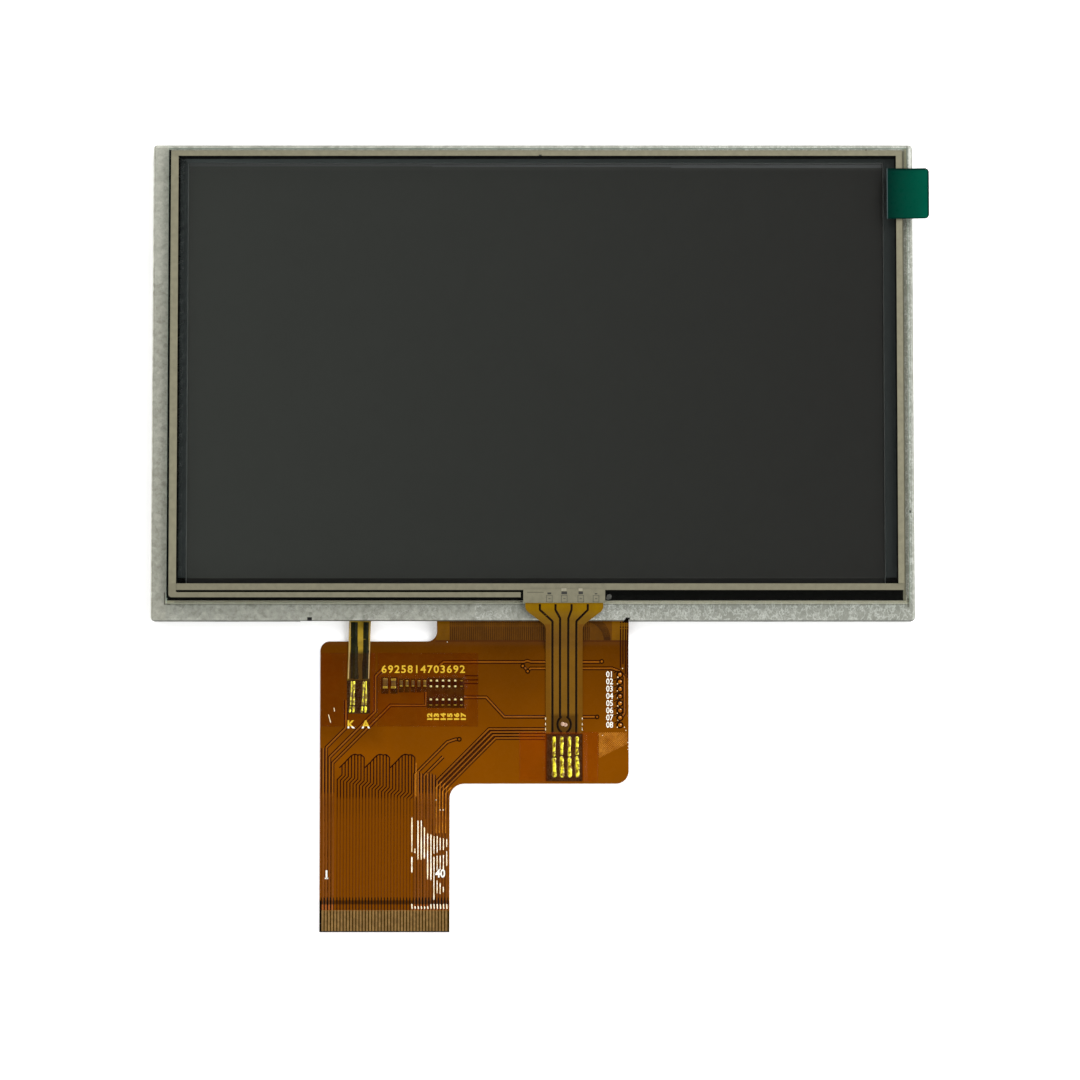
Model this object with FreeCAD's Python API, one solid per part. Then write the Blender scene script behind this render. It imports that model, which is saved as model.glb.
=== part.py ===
import FreeCAD, Part
import math
import os

# Five-inch colour display module with a four-wire resistive touch panel.
# It lies face up on a table, with its flexible circuit unfolded below the lower edge.
# Frame in millimetres: the origin is the centre of the module's outline on the rear face,
# +X points to the display's right, +Y to its top, and +Z out of the screen.

# Outline of the module
module_width = 120.7
module_height = 75.8

# Front bezel, pressed from galvanised sheet
bezel_thickness = 0.3
bezel_bend_radius = 0.5
bezel_corner_radius = 0.6
bezel_foot_gap = 0.1
opening_margin_left = 5.65
opening_margin_right = 4.75
opening_margin_bottom = 5.4
opening_margin_top = 3.0
relief_notch_radius = 0.45
exit_gap_left = 37.3
exit_side_clearance = 0.15
exit_top_clearance = 0.25

# Rear cover, pressed with a raised field that holds the reflector
cover_thickness = 0.3
cover_wall_height = 0.5
cover_clearance = 0.05
cover_field_clearance = 0.2
cover_field_corner_radius = 1.0
locating_hole_radius = 0.8
locating_hole_inset = 6.0

# Backlight stack
reflector_thickness = 0.15
guide_thickness = 0.6
guide_inset = 0.5
diffuser_thickness = 0.1
prism_thickness = 0.12
film_edge_gap = 0.1
led_row_margin = 2.5
led_pitch = 5.0
led_length = 3.0
led_depth = 0.85
led_seat_gap = 0.05
backlight_flex_thickness = 0.12
led_strip_end_margin = 2.0
led_strip_overlap = 1.0
led_strip_width = 4.0
led_chamber_depth = 3.2
backlight_tail_width = 3.45
backlight_tail_x = -27.33
backlight_tail_lean = 0.36
backlight_tail_reach = 9.3
backlight_finger_length = 5.1
backlight_finger_width = 1.05
backlight_finger_pitch = 1.9
backlight_finger_height = 0.12

# Moulded frame
frame_clearance = 0.1
hook_length = 3.4
hook_height = 0.7
hook_depth = 0.22
hook_window_clearance = 0.2
side_hook_spacing = 38.0
top_hook_pitch = 39.0
lower_hook_left_inset = 12.0
lower_hook_right_inset = 24.0

# Display cell
glass_overlap = 1.85
glass_top_overlap = 1.0
filter_bottom_overlap = 1.1
ledge_width = 3.3
glass_thickness = 0.5
polarizer_thickness = 0.13
polarizer_overlap = 0.8
rear_polarizer_inset = 0.4
rim_tape_thickness = 0.06
rim_tape_overlap = 1.0
source_chip_length = 26.0
source_chip_width = 1.0
source_chip_x = 0.45
gate_chip_length = 12.0
gate_chip_inset = 14.55
chip_height = 0.3
chip_ledge_gap = 0.45

# Touch panel
touch_margin_left = 2.6
touch_margin_right = 0.95
touch_margin_bottom = 2.8
touch_margin_top = 0.75
touch_corner_radius = 0.4
mount_tape_thickness = 0.1
mount_tape_inset_left = 0.05
mount_tape_inset_right = 0.54
mount_tape_inset_bottom = 0.45
mount_tape_inset_top = 0.3
mount_tape_setback = 0.1
touch_glass_thickness = 1.1
touch_film_thickness = 0.175
print_thickness = 0.015
bar_inset_left = 0.37
bar_inset_right = 0.86
bar_inset_top = 0.35
bar_inset_bottom = 2.04
left_bar_width = 1.18
right_bar_width = 0.95
top_bar_width = 0.86
bottom_bar_width = 1.03
lead_gap = 0.36
lead_width = 0.8
lead_end_gap = 0.4
bar_corner_radius = 0.5
spacer_window_setback = 0.3
bond_patch_height = 1.75
bond_patch_margin = 0.3
protective_film_thickness = 0.05
protective_film_inset = 0.35
protective_film_corner_radius = 1.2

# Green pull tab of the protective film
tab_thickness = 0.06
tab_height = 8.05
tab_inner_reach = 3.3
tab_outer_reach = 3.35
tab_drop = 3.3
tab_corner_radius = 0.7
tab_curl_angle = 7.0
tab_curl_radius = 12.0
tab_flat_margin = 0.6

# Main flexible circuit, distances down from the module's lower edge
flex_thickness = 0.12
flex_bond_length = 1.5
flex_left_x = -33.65
neck_left_x = -15.15
flex_right_x = 15.15
shoulder_drop = 3.13
body_drop = 25.6
tail_drop = 48.95
shoulder_corner_radius = 1.5
neck_fillet_radius = 1.6
body_corner_radius = 2.0
tail_fillet_radius = 2.3
flex_bend_start = 0.4
flex_slope = 30.0
flex_bend_radius = 3.0
pin_count = 40
pin_pitch = 0.5
pin_width = 0.32
pin_length = 3.3
pin_end_margin = 0.15
pin_side_margin = 0.5
pin_height = 0.035
stiffener_thickness = 0.18
tail_stiffener_length = 7.2
lay_gap = 0.02

# Touch tail
touch_flex_thickness = 0.1
touch_tail_x = 4.95
touch_head_width = 12.3
touch_stem_width = 5.85
touch_bond_length = 1.4
touch_head_drop = 1.1
touch_taper_drop = 3.5
touch_taper_radius = 1.2
touch_bend_start = 1.5
touch_slope = 35.0
touch_bend_radius = 2.5
touch_tail_drop = 25.2
touch_finger_count = 4
touch_finger_pitch = 1.21
touch_finger_width = 0.66
touch_finger_length = 6.6
touch_finger_height = 0.06
touch_finger_end_margin = 0.5
touch_finger_shift = 0.2

# Soldered parts, distances in from the flex's left edge and down from its shoulder
large_capacitor_inset = 10.3
large_capacitor_pitch = 1.3
large_capacitor_count = 2
large_capacitor_size = (0.8, 1.6, 0.6)
small_capacitor_inset = 12.82
small_capacitor_pitch = 0.935
small_capacitor_count = 5
small_capacitor_size = (0.5, 1.0, 0.5)
resistor_inset = 17.5
resistor_pitch = 0.964
resistor_count = 6
resistor_size = (0.5, 1.0, 0.35)
upper_row_drop = 6.65
lower_row_drop = 9.63
test_pad_count = 8
test_pad_pitch = 1.14
test_pad_radius = 0.35
test_pad_height = 0.03
test_pad_inset = 1.35
test_pad_drop = 5.24

# Amber tapes
tape_thickness = 0.05
tape_clearance = 0.03
tape_slope_run = 0.5
component_tape_left = 9.05
component_tape_right = 25.0
component_tape_top = 1.8
component_tape_bottom = 13.45
joint_tape_left = 0.15
joint_tape_gap = 0.3
touch_tape_side = 3.25
touch_tape_bottom = 0.3
touch_tape_height = 8.1
stiffener_inset = 1.0


class Rect:
    """A rectangle in the XY plane, given by its four sides."""

    def __init__(self, left, right, bottom, top):
        self.left = left
        self.right = right
        self.bottom = bottom
        self.top = top

    def inset(self, left, right, bottom, top):
        return Rect(self.left + left, self.right - right, self.bottom + bottom, self.top - top)

    def grown(self, margin):
        return self.inset(-margin, -margin, -margin, -margin)


# Heights, from the rear face up
field_top = cover_thickness
rim_top = field_top + reflector_thickness
guide_top = rim_top + guide_thickness
diffuser_top = guide_top + diffuser_thickness
lower_prism_top = diffuser_top + prism_thickness
films_top = lower_prism_top + prism_thickness
rim_tape_top = films_top + rim_tape_thickness
array_bottom = rim_tape_top + polarizer_thickness
array_top = array_bottom + glass_thickness
filter_top = array_top + glass_thickness
flange_bottom = filter_top + polarizer_thickness
flange_top = flange_bottom + bezel_thickness
mount_tape_top = flange_top + mount_tape_thickness
touch_glass_top = mount_tape_top + touch_glass_thickness
glass_print_top = touch_glass_top + print_thickness
spacer_top = glass_print_top + touch_flex_thickness
film_print_top = spacer_top + print_thickness
touch_film_top = film_print_top + touch_film_thickness
protective_film_top = touch_film_top + protective_film_thickness
flex_top = stiffener_thickness + flex_thickness
cover_wall_top = rim_top + cover_wall_height

# Inside radii that follow from the sheets' outside radii
bezel_inner_corner_radius = bezel_corner_radius - bezel_thickness
bezel_inner_bend_radius = bezel_bend_radius - bezel_thickness
pocket_corner_radius = cover_field_corner_radius - cover_thickness

# Outlines in plan
module = Rect(-module_width / 2, module_width / 2, -module_height / 2, module_height / 2)
bezel_inside = module.grown(-bezel_thickness)
bezel_opening = module.inset(
    opening_margin_left, opening_margin_right, opening_margin_bottom, opening_margin_top)
filter_outline = bezel_opening.inset(
    -glass_overlap, -glass_overlap, -filter_bottom_overlap, -glass_top_overlap)
array_outline = filter_outline.inset(0, 0, -ledge_width, 0)
polarizer_outline = bezel_opening.grown(polarizer_overlap)
guide_outline = filter_outline.inset(guide_inset, guide_inset, guide_inset, guide_inset)
film_outline = guide_outline.inset(0, 0, led_strip_overlap + film_edge_gap, 0)
cover_outline = bezel_inside.grown(-cover_clearance)
field_pocket = guide_outline.grown(cover_field_clearance)
led_chamber = guide_outline.grown(frame_clearance).inset(0, 0, -led_chamber_depth, 0)
cell_chamber = array_outline.grown(frame_clearance)
touch_outline = module.inset(
    touch_margin_left, touch_margin_right, touch_margin_bottom, touch_margin_top)
bars_outside = touch_outline.inset(bar_inset_left, bar_inset_right, bar_inset_bottom, bar_inset_top)
touch_window = bars_outside.inset(left_bar_width, right_bar_width, bottom_bar_width, top_bar_width)
led_strip = Rect(
    guide_outline.left + led_strip_end_margin,
    guide_outline.right - led_strip_end_margin,
    guide_outline.bottom + led_strip_overlap - led_strip_width,
    guide_outline.bottom + led_strip_overlap)

# Edges of the main flexible circuit
tail_width = (pin_count - 1) * pin_pitch + 2 * pin_side_margin
tail_right_x = flex_left_x + tail_width
bond_top_y = array_outline.bottom + flex_bond_length
shoulder_y = module.bottom - shoulder_drop
body_bottom_y = module.bottom - body_drop
tail_end_y = module.bottom - tail_drop

# The tails' ends
backlight_tail_end_y = module.bottom - backlight_tail_reach
touch_tail_end_y = module.bottom - touch_tail_drop


def box(rect, low, high):
    """Upright block over a rectangle, between two heights."""
    corner = FreeCAD.Vector(rect.left, rect.bottom, low)
    return Part.makeBox(rect.right - rect.left, rect.top - rect.bottom, high - low, corner)


def rounded_wire(points, radii):
    """Closed wire through the points, with each corner rounded to its own radius."""
    edges = []
    previous_end = None
    first_start = None
    count = len(points)
    for index in range(count):
        corner = points[index]
        towards_last = (points[index - 1] - corner).normalize()
        towards_next = (points[(index + 1) % count] - corner).normalize()
        start = corner
        end = corner
        arc = None
        if radii[index] > 0:
            half_angle = towards_last.getAngle(towards_next) / 2
            reach = radii[index] / math.tan(half_angle)
            start = corner + towards_last * reach
            end = corner + towards_next * reach
            bisector = (towards_last + towards_next).normalize()
            middle = corner + bisector * (radii[index] / math.sin(half_angle) - radii[index])
            arc = Part.Arc(start, middle, end).toShape()
        if previous_end is not None:
            edges.append(Part.LineSegment(previous_end, start).toShape())
        else:
            first_start = start
        if arc is not None:
            edges.append(arc)
        previous_end = end
    edges.append(Part.LineSegment(previous_end, first_start).toShape())
    return Part.Wire(edges)


def prism(corners, radii, low, high):
    """Upright prism over a plan outline given as (x, y) corners."""
    points = [FreeCAD.Vector(x, y, low) for x, y in corners]
    face = Part.Face(rounded_wire(points, radii))
    return face.extrude(FreeCAD.Vector(0, 0, high - low))


def plate(rect, low, high, corner_radius):
    """Flat plate with four equal rounded corners."""
    corners = [
        (rect.left, rect.bottom),
        (rect.right, rect.bottom),
        (rect.right, rect.top),
        (rect.left, rect.top)]
    return prism(corners, [corner_radius] * 4, low, high)


def top_edges(shape, height):
    """Edges that lie flat at one height."""
    found = []
    for edge in shape.Edges:
        if all(abs(vertex.Z - height) < 1e-6 for vertex in edge.Vertexes):
            found.append(edge)
    return found


def ring(outside, inside, low, high):
    """Flat rectangular ring."""
    return box(outside, low, high).cut(box(inside, low, high))


def frustum(base, top, low, high):
    """Block whose sides slope from a base rectangle to a top rectangle."""
    wires = []
    for rect, height in ((base, low), (top, high)):
        corners = [
            FreeCAD.Vector(rect.left, rect.bottom, height),
            FreeCAD.Vector(rect.right, rect.bottom, height),
            FreeCAD.Vector(rect.right, rect.top, height),
            FreeCAD.Vector(rect.left, rect.top, height),
            FreeCAD.Vector(rect.left, rect.bottom, height)]
        wires.append(Part.makePolygon(corners))
    return Part.makeLoft(wires, True, True)


def offset_line(points, distance):
    """Corners of a bent line moved sideways, so that each run stays parallel to itself."""
    normals = []
    for index in range(len(points) - 1):
        run_y = points[index + 1][0] - points[index][0]
        run_z = points[index + 1][1] - points[index][1]
        length = math.hypot(run_y, run_z)
        normals.append((-run_z / length, run_y / length))
    moved = []
    for index, (y, z) in enumerate(points):
        before = normals[max(index - 1, 0)]
        after = normals[min(index, len(normals) - 1)]
        scale = distance / (1 + before[0] * after[0] + before[1] * after[1])
        moved.append((y + (before[0] + after[0]) * scale, z + (before[1] + after[1]) * scale))
    return moved


def turn_sign(before, corner, after):
    """Plus one where a bent line turns to its left, and minus one to its right."""
    cross = (corner[0] - before[0]) * (after[1] - corner[1])
    cross -= (corner[1] - before[1]) * (after[0] - corner[0])
    return 1 if cross > 0 else -1


def bent_strip(middle_line, radii, thickness, left, right):
    """Strip of even thickness along a bent line of (y, z) corners, between two x values."""
    half = thickness / 2
    left_side = offset_line(middle_line, half)
    right_side = offset_line(middle_line, -half)
    left_radii = []
    right_radii = []
    for index, radius in enumerate(radii):
        shift = 0
        if radius > 0:
            shift = half * turn_sign(*middle_line[index - 1:index + 2])
        left_radii.append(radius - shift)
        right_radii.append(radius + shift)
    loop = left_side + right_side[::-1]
    points = [FreeCAD.Vector(left, y, z) for y, z in loop]
    face = Part.Face(rounded_wire(points, left_radii + right_radii[::-1]))
    return face.extrude(FreeCAD.Vector(right - left, 0, 0))


def main_flex_line():
    """Side view of the main flex's middle: flat on the ledge, down the slope, flat on the table."""
    high = array_top + flex_thickness / 2
    low = stiffener_thickness + flex_thickness / 2
    slope_start = module.bottom - flex_bend_start
    slope_end = slope_start - (high - low) / math.tan(math.radians(flex_slope))
    return [(bond_top_y, high), (slope_start, high), (slope_end, low), (tail_end_y, low)]


def backlight_tail_line():
    """Side view of the backlight tail's middle: straight out, then down the main flex."""
    level = guide_top + backlight_flex_thickness / 2
    lift = (flex_thickness + backlight_flex_thickness) / 2 + lay_gap
    above_flex = offset_line(main_flex_line(), -lift)
    slope_start = above_flex[1]
    slope_end = above_flex[2]
    meeting_y = slope_start[0] - (slope_start[1] - level) / math.tan(math.radians(flex_slope))
    end = (backlight_tail_end_y, slope_end[1])
    return [(led_strip.top, level), (meeting_y, level), slope_end, end]


def touch_tail_line():
    """Side view of the touch tail's middle: out of the panel, down, flat on the main flex."""
    high = glass_print_top + touch_flex_thickness / 2
    low = flex_top + lay_gap + touch_flex_thickness / 2
    slope_start = touch_outline.bottom - touch_bend_start
    slope_end = slope_start - (high - low) / math.tan(math.radians(touch_slope))
    bond_top = touch_outline.bottom + touch_bond_length
    return [(bond_top, high), (slope_start, high), (slope_end, low), (touch_tail_end_y, low)]


def solid_of(shape):
    """The single solid of a finished shape, with its leftover seams removed."""
    return shape.removeSplitter().Solids[0]


def group(solids):
    return Part.makeCompound(solids)


def hook_places():
    """Snap hooks as (x, y, side), where side names the wall that the hook looks through."""
    places = []
    for step in (-1, 1):
        places.append((module.left, step * side_hook_spacing / 2, "left"))
        places.append((module.right, step * side_hook_spacing / 2, "right"))
    for step in (-1, 0, 1):
        places.append((step * top_hook_pitch, module.top, "top"))
    places.append((module.left + lower_hook_left_inset, module.bottom, "bottom"))
    places.append((module.right - lower_hook_right_inset, module.bottom, "bottom"))
    return places


def hook_rect(place, length, depth):
    """Footprint of a hook or its window, straddling the bezel's wall by depth either way."""
    x, y, side = place
    if side in ("left", "right"):
        return Rect(x - depth, x + depth, y - length / 2, y + length / 2)
    return Rect(x - length / 2, x + length / 2, y - depth, y + depth)


def hook_heights():
    middle = (cover_wall_top + flange_bottom) / 2
    return middle - hook_height / 2, middle + hook_height / 2


def rear_cover():
    """Pressed pan: a raised field behind the reflector, a rim, and low upturned walls."""
    rim = plate(cover_outline, reflector_thickness, cover_wall_top, bezel_inner_corner_radius)
    tray = box(cover_outline.grown(-cover_thickness), rim_top, cover_wall_top)
    field = plate(field_pocket.grown(cover_thickness), 0, rim_top, cover_field_corner_radius)
    pocket = plate(field_pocket, field_top, rim_top, pocket_corner_radius)
    cover = rim.cut(tray).fuse(field).cut(pocket)
    for x in (field_pocket.left + locating_hole_inset, field_pocket.right - locating_hole_inset):
        start = FreeCAD.Vector(x, field_pocket.top - locating_hole_inset, 0)
        cover = cover.cut(Part.makeCylinder(locating_hole_radius, field_top, start))
    return solid_of(cover)


def reflector_sheet():
    return plate(guide_outline, field_top, rim_top, pocket_corner_radius)


def light_guide():
    return box(guide_outline, rim_top, guide_top)


def diffuser_sheet():
    return box(film_outline, guide_top, diffuser_top)


def lower_prism_sheet():
    return box(film_outline, diffuser_top, lower_prism_top)


def upper_prism_sheet():
    return box(film_outline, lower_prism_top, films_top)


def backlight_leds():
    """Side-firing LEDs along the strip, against the light guide's lower edge."""
    room = led_strip.right - led_strip.left - 2 * led_row_margin - led_length
    count = 1 + int(room // led_pitch)
    centre = (led_strip.left + led_strip.right) / 2
    first = centre - (count - 1) * led_pitch / 2
    face = guide_outline.bottom - led_seat_gap
    leds = []
    for index in range(count):
        x = first + index * led_pitch
        footprint = Rect(x - led_length / 2, x + led_length / 2, face - led_depth, face)
        leds.append(box(footprint, rim_top + led_seat_gap, guide_top))
    return group(leds)


def backlight_tail_corners():
    """Plan of the backlight tail, which leans a little to the left on its way down."""
    half = backlight_tail_width / 2
    top = led_strip.bottom
    low_x = backlight_tail_x - backlight_tail_lean
    return [
        (backlight_tail_x - half, top),
        (backlight_tail_x - half, module.bottom),
        (low_x - half, backlight_tail_end_y),
        (low_x + half, backlight_tail_end_y),
        (backlight_tail_x + half, module.bottom),
        (backlight_tail_x + half, top)]


def backlight_flex():
    """LED strip with its two-wire tail, bent to lie on the main flex."""
    radii = [0, flex_bend_radius - flex_thickness, flex_bend_radius - flex_thickness, 0]
    sheet = bent_strip(
        backlight_tail_line(), radii, backlight_flex_thickness, led_strip.left, led_strip.right)
    low = 0
    high = guide_top + backlight_flex_thickness
    tail = prism(backlight_tail_corners(), [0] * 6, low, high)
    return solid_of(sheet.common(box(led_strip, low, high).fuse(tail)))


def backlight_joints():
    """The tail's two bare fingers, soldered to the main flex."""
    centre = backlight_tail_x - backlight_tail_lean
    top = backlight_tail_end_y - lay_gap
    fingers = []
    for side in (-1, 1):
        x = centre + side * backlight_finger_pitch / 2
        footprint = Rect(
            x - backlight_finger_width / 2, x + backlight_finger_width / 2,
            top - backlight_finger_length, top)
        high = flex_top + backlight_finger_height
        fingers.append(plate(footprint, flex_top, high, backlight_finger_width / 4))
    return group(fingers)


def mould_frame():
    """White moulded frame: it locates the light guide, the display cell and both shells."""
    lower_outline = cover_outline.grown(-cover_thickness - cover_clearance)
    upper_outline = bezel_inside.grown(-frame_clearance)
    step = cover_wall_top + cover_clearance
    upper = plate(upper_outline, step, flange_bottom, bezel_inner_corner_radius)
    upper = upper.makeChamfer(bezel_inner_bend_radius, top_edges(upper, flange_bottom))
    frame = box(lower_outline, rim_top, step).fuse(upper)
    frame = frame.cut(box(led_chamber, rim_top, films_top))
    frame = frame.cut(box(cell_chamber, films_top, flange_bottom))
    flex_notch = Rect(
        neck_left_x - exit_side_clearance, flex_right_x + exit_side_clearance,
        upper_outline.bottom, cell_chamber.bottom)
    frame = frame.cut(box(flex_notch, array_top - lay_gap, flange_bottom))
    half = backlight_tail_width / 2 + exit_side_clearance
    tail_notch = Rect(
        backlight_tail_x - half, backlight_tail_x + half,
        upper_outline.bottom, led_chamber.bottom)
    frame = frame.cut(box(tail_notch, guide_top - lay_gap, flange_bottom))
    low, high = hook_heights()
    reach = bezel_thickness + frame_clearance
    for place in hook_places():
        tooth = box(hook_rect(place, hook_length, reach), low, high)
        frame = frame.fuse(tooth.common(box(bezel_inside.grown(hook_depth), low, high)))
    return solid_of(frame)


def rim_tape():
    outside = array_outline.inset(0, 0, ledge_width, 0)
    inside = film_outline.grown(-rim_tape_overlap)
    return ring(outside, inside, films_top, rim_tape_top)


def rear_polarizer():
    margin = rear_polarizer_inset
    outline = filter_outline.grown(-margin)
    return box(outline, rim_tape_top, array_bottom)


def array_glass():
    return box(array_outline, array_bottom, array_top)


def filter_glass():
    return box(filter_outline, array_top, filter_top)


def front_polarizer():
    return box(polarizer_outline, filter_top, flange_bottom)


def ledge_chip(x, length):
    """Driver chip bonded face down on the ledge, close to the filter glass."""
    top = filter_outline.bottom - chip_ledge_gap
    footprint = Rect(x - length / 2, x + length / 2, top - source_chip_width, top)
    return box(footprint, array_top, array_top + chip_height)


def source_driver_chip():
    return ledge_chip(source_chip_x, source_chip_length)


def gate_driver_chip():
    centre = array_outline.left + gate_chip_inset + gate_chip_length / 2
    return ledge_chip(centre, gate_chip_length)


def front_bezel():
    """Drawn steel frame: rolled outer edge, window, snap windows, flex exit and its notches."""
    outer = plate(module, bezel_foot_gap, flange_top, bezel_corner_radius)
    outer = outer.makeFillet(bezel_bend_radius, top_edges(outer, flange_top))
    inner = plate(bezel_inside, bezel_foot_gap, flange_bottom, bezel_inner_corner_radius)
    inner = inner.makeFillet(bezel_inner_bend_radius, top_edges(inner, flange_bottom))
    bezel = outer.cut(inner).cut(box(bezel_opening, flange_bottom, flange_top))
    low, high = hook_heights()
    window_length = hook_length + 2 * hook_window_clearance
    for place in hook_places():
        footprint = hook_rect(place, window_length, bezel_thickness + frame_clearance)
        window = box(footprint, low - hook_window_clearance, high + hook_window_clearance)
        bezel = bezel.cut(window)
    exit_left = -exit_gap_left
    exit_right = flex_right_x + exit_side_clearance - relief_notch_radius
    exit_rect = Rect(
        exit_left - relief_notch_radius, exit_right + relief_notch_radius,
        module.bottom, bezel_inside.bottom)
    exit_top = array_top + flex_thickness + exit_top_clearance
    bezel = bezel.cut(box(exit_rect, bezel_foot_gap, exit_top))
    for x in (exit_left, exit_right):
        start = FreeCAD.Vector(x, module.bottom, bezel_foot_gap)
        notch = Part.makeCylinder(relief_notch_radius, flange_top - bezel_foot_gap, start)
        bezel = bezel.cut(notch)
    return solid_of(bezel)


def panel_mount_tape():
    outside = touch_outline.inset(
        mount_tape_inset_left, mount_tape_inset_right,
        mount_tape_inset_bottom, mount_tape_inset_top)
    inside = bezel_opening.grown(mount_tape_setback)
    return ring(outside, inside, flange_top, mount_tape_top)


def touch_glass():
    return plate(touch_outline, mount_tape_top, touch_glass_top, touch_corner_radius)


def glass_silver_print():
    """Upper and lower electrode bars on the glass."""
    upper = Rect(
        bars_outside.left, bars_outside.right, touch_window.top, bars_outside.top)
    lower = Rect(
        touch_window.left, bars_outside.right, bars_outside.bottom, touch_window.bottom)
    return group([
        box(upper, touch_glass_top, glass_print_top),
        box(lower, touch_glass_top, glass_print_top)])


def touch_bond_rect():
    """Where the touch tail is bonded between glass and film."""
    half = touch_head_width / 2
    return Rect(
        touch_tail_x - half, touch_tail_x + half,
        touch_outline.bottom, touch_outline.bottom + touch_bond_length)


def touch_spacer_tape():
    """Clear adhesive ring, open where the touch tail goes in."""
    tape = ring(
        touch_outline, touch_window.grown(spacer_window_setback), glass_print_top, spacer_top)
    mouth = touch_bond_rect().inset(-bond_patch_margin, -bond_patch_margin, 0, -bond_patch_margin)
    return solid_of(tape.cut(box(mouth, glass_print_top, spacer_top)))


def film_silver_print():
    """Left bar with its lead along the bottom, right bar, and the patch over the tail's head."""
    lead_top = bars_outside.bottom - lead_gap
    lead_bottom = lead_top - lead_width
    bond = touch_bond_rect()
    patch = Rect(
        bond.left - bond_patch_margin, bond.right + bond_patch_margin,
        touch_outline.bottom, touch_outline.bottom + bond_patch_height)
    left_corners = [
        (bars_outside.left, lead_bottom),
        (patch.left - lead_end_gap, lead_bottom),
        (patch.left - lead_end_gap, lead_top),
        (touch_window.left, lead_top),
        (touch_window.left, touch_window.top),
        (bars_outside.left, touch_window.top)]
    left_radii = [bar_corner_radius, 0, 0, lead_gap / 2, 0, 0]
    left = prism(left_corners, left_radii, spacer_top, film_print_top)
    right_bar = Rect(
        touch_window.right, bars_outside.right, touch_window.bottom, touch_window.top)
    return group([
        left,
        box(right_bar, spacer_top, film_print_top),
        box(patch, spacer_top, film_print_top)])


def touch_film():
    return plate(touch_outline, film_print_top, touch_film_top, touch_corner_radius)


def protective_film():
    outline = touch_outline.grown(-protective_film_inset)
    return plate(outline, touch_film_top, protective_film_top, protective_film_corner_radius)


def pull_tab():
    """Green tab, stuck flat on the protective film and curling up a little past its edge."""
    film_edge = touch_outline.right - protective_film_inset
    inner_x = touch_outline.right - tab_inner_reach
    outer_x = touch_outline.right + tab_outer_reach
    top = touch_outline.top - tab_drop
    outline = [
        (inner_x, top - tab_height),
        (outer_x, top - tab_height),
        (outer_x, top),
        (inner_x, top)]
    radii = [0, tab_corner_radius, tab_corner_radius, 0]
    level = protective_film_top + tab_thickness / 2
    bend_x = film_edge + tab_flat_margin
    rise = (outer_x - bend_x) * math.tan(math.radians(tab_curl_angle))
    line = [(inner_x, level), (bend_x, level), (outer_x, level + rise)]
    strip = bent_strip(line, [0, tab_curl_radius, 0], tab_thickness, top - tab_height, top)
    strip.rotate(FreeCAD.Vector(0, 0, 0), FreeCAD.Vector(0, 0, 1), -90)
    strip = strip.mirror(FreeCAD.Vector(0, 0, 0), FreeCAD.Vector(0, 1, 0))
    high = protective_film_top + 2 * rise + tab_thickness
    return solid_of(strip.common(prism(outline, radii, protective_film_top, high)))


def main_flex():
    """L-shaped flexible circuit, bent from the display's ledge down to the table."""
    corners = [
        (flex_left_x, tail_end_y),
        (tail_right_x, tail_end_y),
        (tail_right_x, body_bottom_y),
        (flex_right_x, body_bottom_y),
        (flex_right_x, bond_top_y),
        (neck_left_x, bond_top_y),
        (neck_left_x, shoulder_y),
        (flex_left_x, shoulder_y)]
    radii = [
        0, 0, tail_fillet_radius, body_corner_radius,
        0, 0, neck_fillet_radius, shoulder_corner_radius]
    sheet = bent_strip(
        main_flex_line(), [0, flex_bend_radius, flex_bend_radius, 0],
        flex_thickness, flex_left_x, flex_right_x)
    return solid_of(sheet.common(prism(corners, radii, 0, array_top + 2 * flex_thickness)))


def connector_fingers():
    """Contact fingers on the tail's end, at an even pitch across its width."""
    fingers = []
    bottom = tail_end_y + pin_end_margin
    for index in range(pin_count):
        x = flex_left_x + pin_side_margin + index * pin_pitch
        footprint = Rect(x - pin_width / 2, x + pin_width / 2, bottom, bottom + pin_length)
        fingers.append(box(footprint, flex_top, flex_top + pin_height))
    return group(fingers)


def tail_stiffener():
    outline = Rect(flex_left_x, tail_right_x, tail_end_y, tail_end_y + tail_stiffener_length)
    return box(outline, 0, stiffener_thickness)


def component_tape_outline():
    return Rect(
        flex_left_x + component_tape_left, flex_left_x + component_tape_right,
        shoulder_y - component_tape_bottom, shoulder_y - component_tape_top)


def component_stiffener():
    outline = component_tape_outline().grown(-stiffener_inset)
    return plate(outline, 0, stiffener_thickness, stiffener_inset / 2)


def chip_row(inset, pitch, count, size, drop):
    """Row of like chip parts on the flex, each with its long side up and down."""
    width, length, height = size
    chips = []
    for index in range(count):
        x = flex_left_x + inset + index * pitch
        y = shoulder_y - drop
        footprint = Rect(x - width / 2, x + width / 2, y - length / 2, y + length / 2)
        chips.append(box(footprint, flex_top, flex_top + height))
    return chips


def large_capacitors():
    return group(chip_row(
        large_capacitor_inset, large_capacitor_pitch, large_capacitor_count,
        large_capacitor_size, upper_row_drop))


def small_capacitors():
    return group(chip_row(
        small_capacitor_inset, small_capacitor_pitch, small_capacitor_count,
        small_capacitor_size, upper_row_drop))


def chip_resistors():
    upper = chip_row(
        resistor_inset, resistor_pitch, resistor_count, resistor_size, upper_row_drop)
    lower = chip_row(
        resistor_inset, resistor_pitch, resistor_count, resistor_size, lower_row_drop)
    return group(upper + lower)


def test_pads():
    pads = []
    for index in range(test_pad_count):
        y = shoulder_y - test_pad_drop - index * test_pad_pitch
        start = FreeCAD.Vector(flex_right_x - test_pad_inset, y, flex_top)
        pads.append(Part.makeCylinder(test_pad_radius, test_pad_height, start))
    return group(pads)


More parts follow.
